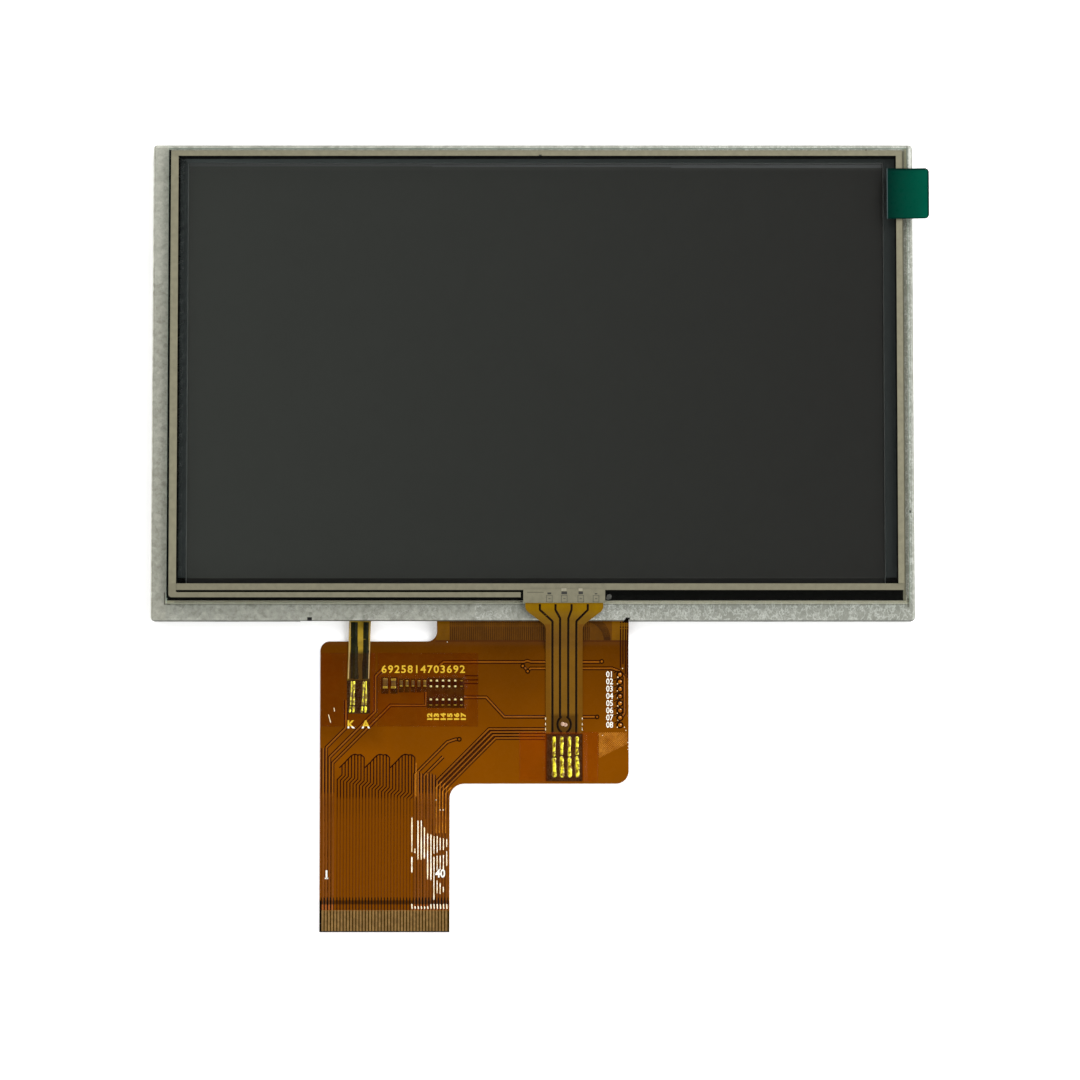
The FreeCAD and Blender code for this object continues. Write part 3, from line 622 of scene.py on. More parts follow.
def dome(radius, height, sides=16, rings=5):
    """Low round dome with a flat foot at zero height."""
    builder = bmesh.new()
    bmesh.ops.create_uvsphere(builder, u_segments=sides, v_segments=rings * 2, radius=1.0)
    low = [vertex for vertex in builder.verts if vertex.co.z < -1e-5]
    bmesh.ops.delete(builder, geom=low, context="VERTS")
    rim = [edge for edge in builder.edges if edge.is_boundary]
    bmesh.ops.contextual_create(builder, geom=rim)
    bmesh.ops.scale(builder, vec=(radius, radius, height), verts=builder.verts)
    return closed(builder, lambda face: len(face.verts) <= 4)


def flat_ring(outer, inner, height, sides=24):
    """Low ring with a hole, standing on zero height."""
    builder = bmesh.new()
    turns = [2 * math.pi * index / sides for index in range(sides)]
    rings = [
        [builder.verts.new((radius * math.cos(turn), radius * math.sin(turn), z)) for turn in turns]
        for radius, z in ((inner, 0), (outer, 0), (outer, height), (inner, height))]
    bridge(builder, rings + rings[:1])
    return closed(builder)


def crowned_bar(start, end, base, width, height, uneven=0.0, seed=0, steps=26, across=10):
    """Low bar with a round back between two plan points, flat below, with rounded ends."""
    chance = random.Random(seed)
    along = Vector((end[0] - start[0], end[1] - start[1], 0))
    length = along.length
    along.normalize()
    side = Vector((-along.y, along.x, 0))
    phases = [chance.uniform(0, 2 * math.pi) for _ in range(3)]
    builder = bmesh.new()
    rows = []
    for step in range(steps + 1):
        share = step / steps
        run = share * length
        from_end = min(run, length - run)
        rounding = math.sqrt(max(0.0, 1 - (1 - min(1.0, from_end / (width / 2))) ** 2))
        wave = math.sin(7 * share + phases[0]) + 0.6 * math.sin(17 * share + phases[1])
        swell = 1 + uneven * wave / 3.2
        half = max(0.1, rounding) * width / 2 * swell
        lean = 0.4 * uneven * math.sin(9 * share + phases[2])
        rise = max(0.08, rounding) * height * swell
        row = []
        for index in range(across + 1):
            u = -1 + 2 * index / across
            crown = 1 - abs((u - lean * (1 - u * u))) ** 2.2
            point = Vector((start[0], start[1], 0)) + along * run + side * (u * half)
            row.append(builder.verts.new((point.x, point.y, base + rise * max(0.0, crown))))
        rows.append(row)
    for here, there in zip(rows, rows[1:]):
        for index in range(across):
            builder.faces.new((here[index], there[index], there[index + 1], here[index + 1]))
        builder.faces.new((here[0], here[-1], there[-1], there[0]))
    builder.faces.new(rows[0])
    builder.faces.new(rows[-1])
    return closed(builder, lambda face: face.normal.z > 0.05)


def lettering(text, height, x, y, z, thickness, turn=0.0, stretch=1.0, bold=0.0):
    """A short generic mark as a thin mesh, centred at a place; x and y are in millimetres."""
    curve = bpy.data.curves.new("mark", "FONT")
    curve.body = text
    curve.size = height / LETTER_SHARE
    curve.align_x = "CENTER"
    curve.align_y = "CENTER"
    curve.resolution_u = 3
    curve.extrude = thickness / 2
    curve.offset = bold * MM
    mesh = baked(shown("mark", curve))
    bpy.data.curves.remove(curve)
    widen = Matrix.Diagonal((stretch, 1, 1, 1))
    mesh.transform(
        Matrix.Translation((x * MM, y * MM, z)) @ Matrix.Rotation(turn, 4, "Z") @ widen)
    builder = bmesh.new()
    builder.from_mesh(mesh)
    bpy.data.meshes.remove(mesh)
    bmesh.ops.remove_doubles(builder, verts=builder.verts, dist=1e-7)
    return closed(builder)


def thin_plate(left, right, bottom, top, low, high):
    """Thin rectangular plate, with its plan in millimetres and its heights in metres."""
    builder = bmesh.new()
    bmesh.ops.create_cube(builder, size=1.0)
    size = Vector(((right - left) * MM, (top - bottom) * MM, high - low))
    middle = Vector(((left + right) / 2 * MM, (bottom + top) / 2 * MM, (low + high) / 2))
    for vertex in builder.verts:
        vertex.co = Vector([c * s for c, s in zip(vertex.co, size)]) + middle
    return mesh_from(builder)


def rolled_plug(x, y, radius, low, high, roll, rows=8):
    """Half-round post against a wall at y, with a top that follows the rolled edge."""
    builder = bmesh.new()
    rings = []
    for row in range(rows + 1):
        reach = radius * row / rows
        half = max(math.sqrt(radius ** 2 - reach ** 2), 0.01 * radius)
        top = high - roll + math.sqrt(max(0.0, roll ** 2 - (roll - reach) ** 2))
        corners = ((-half, low), (half, low), (half, top), (-half, top))
        rings.append([builder.verts.new((x + dx, y + reach, z)) for dx, z in corners])
    return capped(builder, rings)


def stepped_plate(boxes):
    """Closed plate from stacked rectangles, each with its own outline in plan."""
    builder = bmesh.new()
    rings = []
    for low, high in boxes:
        for z in (low.z, high.z):
            corners = ((low.x, low.y), (high.x, low.y), (high.x, high.y), (low.x, high.y))
            rings.append([builder.verts.new((x, y, z)) for x, y in corners])
    return capped(builder, rings)


def capped(builder, rings):
    """Closed mesh from rings of corners, with a face on its first and its last ring."""
    bridge(builder, rings)
    builder.faces.new(rings[0])
    builder.faces.new(rings[-1])
    return closed(builder)


def pin_x(index, flex):
    """Middle of one contact finger, in millimetres."""
    first = FINGERS_LOW.x + flex.pin_width / 2
    pitch = (FINGERS_HIGH.x - FINGERS_LOW.x - flex.pin_width) / (flex.pins - 1)
    return (first + index * pitch) / MM


def down_to_pin(route, pin, flex):
    """Adds a slanting run and the straight run down the tail to a contact finger."""
    x, y = route[-1]
    target = pin_x(pin, flex)
    return route + [(target, y - abs(x - target)), (target, TAIL_END)]


# Places on the main film in millimetres: the neck, the tail and the end of the cover film
NECK_TOP = -37.95
NECK_BOTTOM = -40.85
TAIL_SIDES = (-34.5, -12.0)
TAIL_TOP = -65.8
TAIL_FOOT = -90.0
COVER_END = -82.2
LAST_COVER = (-82.5, -81.85)
BARE_TOP = -83.7
PIN_GROUPS = ((-34.5, -31.2), (-18.9, -15.6))

# Traces above the tail, in millimetres. They are the shapes of the real circuit's own runs.
CATHODE_RUN = [(-29.57, -50.3), (-29.57, -54.7)]
ANODE_RUN = [(-23.8, -45.4), (-24.9, -46.5), (-24.9, -52.1)]
SUPPLY_RUN = [(-16.94, -49.0), (-16.94, -51.14), (-22.54, -51.14)]
UPPER_RUN = [(-14.96, -45.06), (-14.17, -44.27), (-1.37, -44.27), (-0.9, -44.06), (-0.27, -44.27),
             (10.6, -44.27)]
LOWER_RUN = [(-1.6, -44.84), (-0.82, -45.69), (-0.38, -45.28), (12.53, -45.28), (13.63, -45.69),
             (14.5, -46.64), (14.5, -52.32), (13.95, -53.11)]
MIDDLE_RUN = [(-10.85, -49.87), (-7.38, -49.87), (-4.53, -52.96), (9.84, -52.96)]
VIA_RUN = [(-11.64, -56.5), (-12.27, -56.51), (-13.54, -56.95)]
RIGHT_RUN = [(-14.17, -59.23)]
SHORT_RUN_HEIGHTS = (-46.45, -47.11, -47.68)
SHORT_RUN_ENDS = (-10.85, -8.64)
TOUCH_RUN_START = 1.94
TOUCH_RUN_TOP = -54.88
TOUCH_RUN_PITCH = 0.475
TOUCH_RUN_CORNER = -6.94
TOUCH_RUN_CORNER_STEP = 0.35
COMB_FIRST_PIN = 4
COMB_LAST_PIN = 28
COMB_TEETH = 8
COMB_TOOTH_TOPS = (-60.6, -60.1, -59.55, -59.05, -58.85, -58.98, -58.92, -59.35)
COMB_JOG_TOP = -62.1
COMB_JOG_FALL = 0.135
COMB_LEAD = 0.24
COMB_FOOT = (0.42, 0.4)
FREE_PINS = (30, 31, 33, 34, 35)
FIRST_TOUCH_PIN = 36
EDGE_RUNS = ((13.87, -45.2), (14.27, -44.6), (14.66, -46.2), (14.96, -46.8))
VIA_PLACES = ((-11.64, -56.5), (-0.82, -45.75), (10.16, -52.96), (10.9, -44.2), (-1.6, -44.9))


def comb_gaps(flex):
    """Etched gaps of the comb: three groups like saw teeth, each gap with a slanting jog."""
    routes = []
    step = pin_x(1, flex) - pin_x(0, flex)
    for number in range(COMB_LAST_PIN - COMB_FIRST_PIN):
        tooth = number % COMB_TEETH
        x = pin_x(COMB_FIRST_PIN + number, flex) + step / 2
        upper = x + step + COMB_LEAD
        jog = COMB_JOG_TOP - COMB_JOG_FALL * number
        top = COMB_TOOTH_TOPS[tooth]
        routes.append([(upper, top), (upper, jog), (x, jog - step - COMB_LEAD), (x, TAIL_END)])
        if tooth < COMB_TEETH - 1:
            routes.append([(upper, top), (upper + step, COMB_TOOTH_TOPS[tooth + 1])])
        else:
            before = upper - (COMB_TEETH - 1) * step
            first = COMB_TOOTH_TOPS[0]
            routes.append([(before, first), (before - COMB_FOOT[0], first - COMB_FOOT[1])])
    return routes


def tail_routes(flex):
    """Traces between the comb and the touch runs."""
    routes = [[(pin_x(0, flex), -57.9), (pin_x(0, flex), TAIL_END)]]
    for run, pin in (
            (CATHODE_RUN, 1), (ANODE_RUN, 2), (SUPPLY_RUN, 3), (VIA_RUN, COMB_LAST_PIN + 1),
            (RIGHT_RUN, COMB_LAST_PIN + 4)):
        routes.append(down_to_pin(run, pin, flex))
    for pin in FREE_PINS:
        x = pin_x(pin, flex)
        routes.append([(x, -61.7 - 0.2 * (pin % 3)), (x, TAIL_END)])
    for index in range(4):
        y = TOUCH_RUN_TOP - TOUCH_RUN_PITCH * index
        corner = TOUCH_RUN_CORNER + TOUCH_RUN_CORNER_STEP * index
        routes.append(
            down_to_pin([(TOUCH_RUN_START, y), (corner, y)], FIRST_TOUCH_PIN + index, flex))
    return routes


def single_gaps(flex):
    """Etched gaps that stand alone: the comb, the short stubs and the runs along the edge."""
    left, right = SHORT_RUN_ENDS
    stubs = [[(left, y), (right, y)] for y in SHORT_RUN_HEIGHTS]
    return comb_gaps(flex) + stubs + [[(x, NECK_TOP), (x, y)] for x, y in EDGE_RUNS]


# Places laid over the bezel's zinc, many of them painted shade and painted light, as (left, right,
# bottom, top, softness, share, colour)
BEZEL_PATCHES = (
    # Painted shade on the steel's rolled edge inside the opening.
    (-55.4, 56.3, -33.2, 35.6, 0.05, 1, paint(84, 88, 85)),
    (-57.7, 59.4, -35.2, -34.6, 0.06, 0.8, paint(160, 155, 132)),
    # Painted shadow below the lip of the opening.
    (-57.7, 59.4, -35.4, -35.24, 0.06, 0.5, paint(84, 84, 74)),
    (58.8, 59.5, -34.6, 37.3, 0.1, 0.45, paint(104, 102, 84)),
    # Painted shade on the right fold.
    (59.8, 61, -39, 39, 0.1, 0.55, paint(104, 106, 98)),
    # Painted light that lifts the left strip.
    (-61, -57.9, -39, 39, 0.3, 0.06, paint(255, 246, 216)),
    # Painted shade on the top fold.
    (-61, 61, 37.55, 39, 0.1, 0.6, paint(112, 114, 106)),
    # Painted shade on the bottom fold, which faces away from the light.
    (-61, 61, -38.2, -37.72, 0.1, 0.75, paint(66, 68, 62)),
    # Painted light on the upper part of the left strip.
    (-61, -57.9, 16, 39, 3.0, 0.13, paint(236, 240, 226)),
    (59.0, 59.38, 33.6, 37.2, 0.06, 0.6, paint(150, 146, 112)),
    (58.72, 58.96, 33.6, 36.9, 0.05, 0.65, paint(80, 74, 46)),
    # A dark seam at the top right corner, with a painted highlight on the fold beside it.
    (59.38, 59.6, 33.6, 37.7, 0.06, 0.6, paint(50, 50, 42)),
    (59.68, 60.05, 33.6, 37.3, 0.07, 0.4, paint(246, 247, 240)),
    (59.4, 60.0, -28.7, -27.9, 0.25, 0.3, paint(236, 238, 232)),
    (59.5, 59.75, -20.8, -20.4, 0.06, 1, paint(40, 40, 34)),
    (52.85, 53.15, 36.85, 37.12, 0.05, 1, paint(40, 38, 30)),
    # Painted shade along the left fold.
    (-60.15, -59.95, -39, 39, 0.06, 0.45, paint(84, 86, 78)),
    (-58.0, -56.6, -35.1, -34.7, 0.08, 0.6, paint(200, 194, 164)),
    # Painted shadow beside the lip at the lower left corner.
    (-58.22, -58.02, -35.3, -33.4, 0.05, 0.7, paint(60, 56, 40)),
    (-58.2, -57.2, -35.34, -35.18, 0.05, 0.6, paint(60, 56, 40)),
    (58.72, 58.98, -35.1, -33.8, 0.06, 0.5, paint(196, 192, 166)),
    # Painted shadow beside the lip at the lower right corner.
    (59.1, 59.4, -35.75, -34.3, 0.08, 0.6, paint(66, 64, 46)),
    # Painted shadow of a notch in the lower edge, where no notch is cut.
    (-35.6, -34.85, -38.2, -37.3, 0.1, 1, paint(6, 6, 5)),
    # Painted shadow in the notch of the lower edge.
    (14.62, 15.3, -38.2, -37.35, 0.12, 1, paint(8, 7, 5)))


def steel_finish(name, settings, patches):
    """Galvanised sheet: mottled zinc, frostier towards the right, with patches laid over it, many of
    them painted shade and light.
    """
    steel = Finish(name, Metallic=0.6)
    x = steel.axis("X")
    zinc = steel.effect("Zinc Spangle", Crystal=1 / settings.crystal_size)
    base = steel.blend(zinc.outputs["Mask"], settings.zinc_dark, settings.zinc_light)
    share = steel.spread(x, -0.06, 0.03, 0.12, 0.75)
    frost = steel.math("MULTIPLY", zinc.outputs["Frost"], share)
    base = steel.blend(frost, base, paint(232, 233, 226))
    fine = steel.effect("Zinc Spangle", Crystal=2.5 / settings.crystal_size)
    streaks = steel.noise(steel.stretch(steel.place(), (1.0, 0.6, 1.0)), 1100.0, 3.0, 0.6)
    crease = steel.math("ABSOLUTE", steel.math("SUBTRACT", streaks, 0.5))
    rough = steel.blend(
        steel.spread(crease, 0.0, 0.05, 1.0, 0.0), paint(138, 141, 132), paint(208, 212, 204))
    rough = steel.blend(fine.outputs["Frost"], rough, paint(236, 238, 232))
    base = steel.blend(steel.spread(x, -0.02, 0.03, 0.08, 0.6), base, rough)
    steel.put("Base Color", steel.patched(base, patches))
    steel.put("Roughness", steel.spread(zinc.outputs["Mask"], 0.0, 1.0, 0.5, 0.36))
    steel.put("Normal", zinc.outputs["Normal"])
    return steel.material


def plain_finish(name, colour, second=None, drift=400.0, scale=4000.0, depth=0.01,
                 low=0.35, high=0.5, **constants):
    """A matt or satin finish with a slow colour drift and a fine grain."""
    finish = Finish(name, **constants)
    tone = finish.drift(colour, second or shade(colour, 0.88), drift)
    return finish.coat(tone, scale, 0.3, depth, low, high)


def clear_finish(name, tint, alpha, edge, edge_alpha, rough=0.08):
    """Clear sheet: nearly unseen through its faces, and tinted on its cut sides."""
    clear = Finish(name, IOR=1.5)
    upright = clear.axis("Z", clear.add("ShaderNodeTexCoord").outputs["Normal"])
    side = clear.spread(clear.math("ABSOLUTE", upright), 0.3, 0.6, 1.0, 0.0)
    clear.put("Base Color", clear.blend(side, tint, edge))
    haze = clear.spread(clear.noise(clear.place(), 180.0, 4.0), 0.3, 0.7, 0.9, 1.1)
    front = clear.math("MULTIPLY", haze, alpha)
    total = clear.math("ADD", front, clear.math("MULTIPLY", side, edge_alpha))
    clear.put("Alpha", clear.clamp(total))
    clear.put("Roughness", clear.spread(side, 0.0, 1.0, rough, 0.45))
    return clear.material


def amber_finish(flex):
    """Main flex: amber film over copper, darker at the neck and towards the steel body."""
    film = Finish("amber_main_film", shine=0.05)
    down = film.axis("Y")
    light = film.drift(flex.amber, shade(flex.amber, 0.9), 110.0)
    body = film.blend(
        film.spread(down, -42.0 * MM, -60.0 * MM), film.drift(
            flex.upper_amber, shade(flex.upper_amber, 0.86), 140.0), light)
    tail = film.zone(*TAIL_SIDES, TAIL_FOOT, -61.5, 4.0)
    body = film.blend(tail, body, flex.tail_amber)
    for left, right, colour in (
            (-13.2, 12.5, flex.neck_brown), (12.5, 15.3, paint(112, 72, 0)),
            (-15.3, -13.2, paint(102, 64, 0))):
        neck = film.zone(left, right, NECK_BOTTOM, -36.0, 0.1)
        grade = film.noise(film.stretch(film.place(), (1.0, 0.15, 1.0)), 700.0, 2.0)
        tone = film.blend(film.spread(grade, 0.35, 0.65), shade(colour, 0.8), colour)
        body = film.blend(neck, body, tone)
    dark = paint(12, 8, 3)
    body = film.patched(body, (
        (-36, -24.5, -57.0, -37.0, 3.0, 0.5, paint(82, 42, 0)),
        (-15.4, 15.4, -41.08, NECK_BOTTOM, 0.05, 0.8, paint(66, 30, 0)),
        (*TAIL_SIDES, *LAST_COVER, 0.2, 0.7, paint(40, 16, 0)),
        (*TAIL_SIDES, TAIL_FOOT, -83.55, 0.05, 1, paint(46, 32, 4)),
        (-33.9, -33.33, TAIL_FOOT, -81.9, 0.05, 1, dark),
        (*TAIL_SIDES, TAIL_FOOT, -86.68, 0.04, 1, dark),
        # Painted shadow on the film under the notch in the steel's lower edge.
        (14.2, 15.3, -38.1, -36.0, 0.15, 1, dark)))
    return film.coat(body, 900.0, 0.2, 0.02, 0.22, 0.32)


def trace_finish(flex):
    """Copper trace under the cover film, duller on the tail and redder at the cover's end."""
    copper = Finish("covered_copper", shine=0.05)
    body = copper.drift(flex.trace, shade(flex.trace, 0.85), 260.0)
    body = copper.patched(body, (
        (*TAIL_SIDES, TAIL_FOOT, TAIL_TOP, 1.6, 1, flex.tail_amber),
        (*TAIL_SIDES, BARE_TOP, LAST_COVER[0], 0.15, 1, paint(138, 74, 22)),
        (*TAIL_SIDES, *LAST_COVER, 0.2, 0.6, paint(52, 22, 0))))
    return copper.coat(body, 2200.0, 0.25, 0.01, 0.22, 0.32)


def gap_finish(flex):
    """Etched gap between traces, faint on the lower tail and dark at the cover's end."""
    gap = Finish("etched_gap", shine=0.03)
    body = gap.drift(flex.gap, shade(flex.gap, 0.8), 300.0)
    pale = shade(flex.tail_gap, 2.2)
    body = gap.patched(body, (
        (*TAIL_SIDES, COVER_END, TAIL_TOP, 0.6, 1, flex.side_gap),
        (-31.1, -15.7, COVER_END, TAIL_TOP, 0.6, 1, flex.tail_gap),
        (-36.0, -12.0, COVER_END, -68.6, 1.5, 1, shade(flex.tail_gap, 1.35)),
        *[(*sides, COVER_END, -65.0, 0.5, 0.5, pale) for sides in PIN_GROUPS],
        (*TAIL_SIDES, -82.6, -81.4, 0.3, 1, paint(18, 5, 0)),
        (*TAIL_SIDES, BARE_TOP, LAST_COVER[0], 0.15, 1, paint(46, 18, 2))))
    return gap.coat(body, 2200.0, 0.25, 0.01, 0.25, 0.35)


def stem_finish():
    """Touch tail: golden at its head, olive brown along the stem and dark at its end."""
    stem = Finish("amber_touch_film", shine=0.05)
    fall = stem.spread(stem.axis("Y"), -35.8 * MM, -40.0 * MM)
    body = stem.blend(fall, paint(118, 87, 4), paint(104, 72, 20))
    brown = paint(100, 62, 8)
    body = stem.patched(body, (
        (1.9, 2.75, -56.0, -38.4, 0.2, 0.8, brown), (7.15, 8.1, -56.0, -38.4, 0.2, 0.8, brown)))
    cloud = stem.spread(stem.noise(stem.place(), 420.0, 3.0), 0.35, 0.7, 0.0, 0.35)
    body = stem.blend(cloud, body, paint(86, 58, 16))
    body = stem.patched(body, (
        (2.9, 7.1, -58.0, -52.6, 0.6, 0.65, paint(50, 30, 8)),
        (0, 10, -70.0, -55.6, 0.2, 1, paint(36, 22, 4))))
    return stem.coat(body, 1200.0, 0.25, 0.015, 0.2, 0.32)


def backlight_tail_finish():
    """Backlight tail: olive gold between its conductors, with a brown resin end."""
    tail = Finish("amber_backlight_film", shine=0.08)
    body = tail.drift(paint(150, 124, 36), paint(116, 94, 24), 500.0)
    body = tail.patched(body, ((-29.4, -25.6, -48.0, -42.6, 0.9, 1, paint(64, 48, 18)),))
    return tail.coat(body, 1500.0, 0.3, 0.015, 0.2, 0.32)


def ink_and_glint_finish(name, colour, patches=(), paler=0.72):
    """Opaque flat colour with a slightly ragged tone, for printed ink and for painted glints."""
    ink = Finish(name)
    tone = ink.drift(colour, shade(colour, paler), 2500.0, 0.35, 0.75)
    return ink.coat(ink.patched(tone, patches), 6000.0, 0.4, 0.01, 0.5, 0.7)


class MODULE_OT_steel_shells(bpy.types.Operator):
    """Gives the front bezel and the rear cover their spangled zinc"""
    bl_idname = "display_module.steel_shells"
    bl_label = "Steel Shells"

    def execute(self, context):
        settings = context.scene.module_steel
        steel = steel_finish("bezel_steel", settings, BEZEL_PATCHES)
        dress(("front_bezel",), steel)
        dress(("rear_cover",), steel_finish("cover_steel", settings, ()))
        low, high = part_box("front_bezel")
        plug = rolled_plug(-37.3 * MM, low.y, 0.44 * MM, low.z, high.z, 0.5 * MM)
        new_piece("bezel_plug", plug, steel)
        return {"FINISHED"}


class MODULE_OT_backlight(bpy.types.Operator):
    """Finishes the light guide, its films, the LEDs and the moulded frame"""
    bl_idname = "display_module.backlight"
    bl_label = "Backlight"

    def execute(self, context):
        white = plain_finish("white_sheet", paint(240, 240, 236), drift=60.0, low=0.5, high=0.65)
        dress(("reflector_sheet", "diffuser_sheet"), white)
        moulding = Finish("white_moulding", shine=0.3)
        # The moulding is white inside; its outer faces are painted grey as the shade seen through the
        # steel's side windows.
        inside = moulding.zone(-58.9, 58.9, -36.4, 36.4, 0.3)
        tone = moulding.blend(
            inside, moulding.drift(paint(120, 122, 112), paint(104, 106, 97)),
            moulding.drift(paint(232, 231, 224), paint(208, 207, 200)))
        dress(("mould_frame",), moulding.coat(tone, 5000.0, 0.3, 0.02, 0.38, 0.55))
        guide = clear_finish(
            "clear_acrylic", paint(225, 232, 232), 0.35, paint(190, 215, 220), 0.4)
        dress(("light_guide",), guide)
        prism = Finish("ridged_film", Alpha=0.75, IOR=1.55)
        wave = prism.add("ShaderNodeTexWave", {
            "Vector": prism.place(), "Scale": 3000.0}, bands_direction="Y").outputs["Fac"]
        prism.put("Base Color", prism.drift(paint(214, 220, 224), paint(196, 204, 210), 80.0))
        prism.put("Normal", prism.bump(wave, 0.4, 0.00002))
        prism.put("Roughness", prism.spread(wave, 0.0, 1.0, 0.2, 0.4))
        dress(("lower_prism_sheet", "upper_prism_sheet"), prism.material)
        led = Finish("led_housing")
        front = led.zone(-60, 60, -33.35, -33.0, 0.05)
        shell = led.drift(paint(238, 238, 232), paint(222, 222, 214), 900.0)
        tone = led.blend(front, shell, paint(236, 206, 70))
        dress(("backlight_leds",), led.coat(tone, 5000.0, 0.3, 0.01, 0.3, 0.45))
        return {"FINISHED"}


class MODULE_OT_display_cell(bpy.types.Operator):
    """Finishes the display glass, its polarizers, its drivers and the black tapes"""
    bl_idname = "display_module.display_cell"
    bl_label = "Display Cell"

    def execute(self, context):
        panel = context.scene.module_panel
        screen = Finish("dark_polarizer", shine=0.25)
        # Painted shading: the screen is lighter at its left and darker at its right.
        across = screen.spread(screen.axis("X"), -0.055, 0.055)
        tone = screen.blend(across, panel.screen_left, panel.screen_right)
        cloud = screen.spread(screen.noise(screen.place(), 25.0, 2.0), 0.3, 0.7, 0.0, 0.12)
        tone = screen.blend(cloud, tone, shade(panel.screen_left, 0.6))
        tone = screen.patched(tone, (
            (-60, 60, -40, -31.12, 0.12, 1, paint(14, 14, 12)),
            (-54.4, 55.0, -31.12, -30.92, 0.08, 0.1, paint(66, 68, 64)),
            # Painted light: the top strip of the screen is lifted against the shade near the steel's
            # edge.
            (-54.7, 55.8, 33.9, 36, 0.4, 0.35, paint(50, 52, 49)),
            (-54.7, -16, 34.5, 36, 0.06, 1, paint(60, 62, 62)),
            (-16, 22, 34.38, 36, 0.06, 1, paint(60, 62, 62)),
            (22, 55.8, 34.24, 36, 0.06, 1, paint(61, 63, 63))))
        dress(
            ("front_polarizer", "rear_polarizer"),
            screen.coat(tone, 9000.0, 0.15, 0.006, 0.28, 0.36))
        glass = clear_finish(
            "display_glass", paint(120, 140, 134), 0.3, paint(150, 190, 176), 0.5)
        dress(("array_glass", "filter_glass"), glass)
        silicon = plain_finish(
            "driver_silicon", paint(66, 66, 72), scale=2500.0, depth=0.004, low=0.15, high=0.25,
            Metallic=0.3)
        dress(("source_driver_chip", "gate_driver_chip"), silicon)
        black = Finish("black_tape", shine=0.03)
        left, right, bottom, top = plan("glass_silver_print")
        window = black.zone(left + 1.4, right - 1.1, bottom + 1.2, top - 1.2, 0.12)
        tone = black.drift(paint(7, 7, 7), paint(11, 11, 10), 500.0)
        # Inside the silver frame the tape shows a painted reflection of the touch film, lighter at
        # the left and darker at the right as painted shading.
        border = black.blend(
            black.spread(black.axis("X"), -0.057, 0.058),
            shade(panel.border_reflection, 1.55), shade(panel.border_reflection, 0.66))
        tone = black.patched(black.blend(window, tone, border), (
            (-60, 60, -35, bottom + 2.0, 0.1, 1, paint(5, 5, 4)),
            (right - 0.1, 60, -36, 60, 0.1, 1, paint(106, 104, 88))))
        dress(("rim_tape", "panel_mount_tape"), black.coat(tone, 3500.0, 0.4, 0.015, 0.5, 0.7))
        return {"FINISHED"}


class MODULE_OT_touch_panel(bpy.types.Operator):
    """Builds the clear laminate of touch glass, adhesive, touch film and peel-off film"""
    bl_idname = "display_module.touch_panel"
    bl_label = "Touch Panel"

    def execute(self, context):
        clear = clear_finish(
            "clear_laminate", paint(60, 62, 58), 0.02, paint(150, 178, 160), 0.45, 0.06)
        film_low, film_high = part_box("touch_film")
        peel_low, peel_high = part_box("protective_film")
        body_high = Vector((film_high.x, film_high.y, peel_low.z))
        mesh = stepped_plate(((PANEL_LOW, body_high), (peel_low, peel_high)))
        new_piece(
            "clear_laminate", mesh, clear,
            ("touch_glass", "touch_spacer_tape", "touch_film", "protective_film"))
        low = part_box("glass_silver_print")[0]
        left, _, _, top = plan("glass_silver_print")
        black = plain_finish("panel_rim_black", paint(4, 4, 3), low=0.5, high=0.6, shine=0.03)
        line = thin_plate(
            PANEL_LOW.x / MM + 0.02, left + 0.05, -34.3, top + 0.1, low.z - 0.02 * MM,
            low.z - 0.004 * MM)
        new_piece("panel_rim_line", line, black)
        return {"FINISHED"}


class MODULE_OT_silver_print(bpy.types.Operator):
    """Finishes the silver bars and marks the four joints of the touch tail"""
    bl_idname = "display_module.silver_print"
    bl_label = "Silver Print"

    def execute(self, context):
        colour = context.scene.module_panel.silver
        silver = Finish("silver_ink", shine=0.3)
        body = silver.patched(silver.drift(colour, shade(colour, 0.8), 1200.0, 0.35, 0.75), (
            (-60, 60, -36, -32.0, 0.2, 0.35, shade(colour, 0.5)),
            (0.95, 1.4, 35.7, 36.12, 0.08, 1, paint(36, 36, 30)),
            (-0.9, 1.7, -33.5, -33.38, 0.05, 0.7, paint(60, 57, 44))))
        silver = silver.coat(body, 5000.0, 0.4, 0.01, 0.5, 0.7)
        dress(("glass_silver_print", "film_silver_print"), silver)
        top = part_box("film_silver_print")[1].z
        bridge_plate = thin_plate(-1.5, 11.4, -33.7, -32.9, top - 2 * SINK, top + SINK)
        new_piece("joint_bridge", bridge_plate, silver)
        marks, glints, outlines = [], [], []
        for x, half, rise in (
                (2.6, 0.3, 0.28), (4.95, 0.45, 0.45), (7.55, 0.35, 0.45), (9.95, 0.2, 0.16)):
            marks.append((x - half, x + half, -33.75, -33.75 + rise))
            if rise > 0.4:
                glints.append((x - half, x + half * 0.8, -33.2, -32.8))
            for left, right, bottom, high in (
                    (-0.5, 0.5, -33.98, -33.9), (-0.5, 0.5, -35.0, -34.92),
                    (-0.5, -0.4, -35.0, -33.9), (0.4, 0.5, -35.0, -33.9),
                    (-0.16, 0.2, -34.5, -34.36)):
                outlines.append((x + left, x + right, bottom, high))
        for name, finish_name, colour, places, height in (
                ("joint_marks", "joint_mark", paint(30, 28, 20), marks, 9e-6),
                ("joint_glints", "joint_light", paint(138, 133, 112), glints, 7e-6),
                ("joint_outlines", "joint_outline", paint(72, 69, 55), outlines, SINK)):
            plates = [thin_plate(*place, top - SINK, top + height) for place in places]
            new_piece(name, joined(plates), ink_and_glint_finish(finish_name, colour))
        smear = plain_finish("adhesive_smear", paint(84, 84, 78), paint(52, 52, 48), 900.0)
        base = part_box("panel_mount_tape")[1].z
        fan = crowned_bar(
            (11.62 * MM, -34.5 * MM), (12.35 * MM, -33.75 * MM), base - 2e-6, 0.75 * MM,
            0.02 * MM, 0.5, 5, 12, 6)
        new_piece("adhesive_smear", fan, smear)
        return {"FINISHED"}


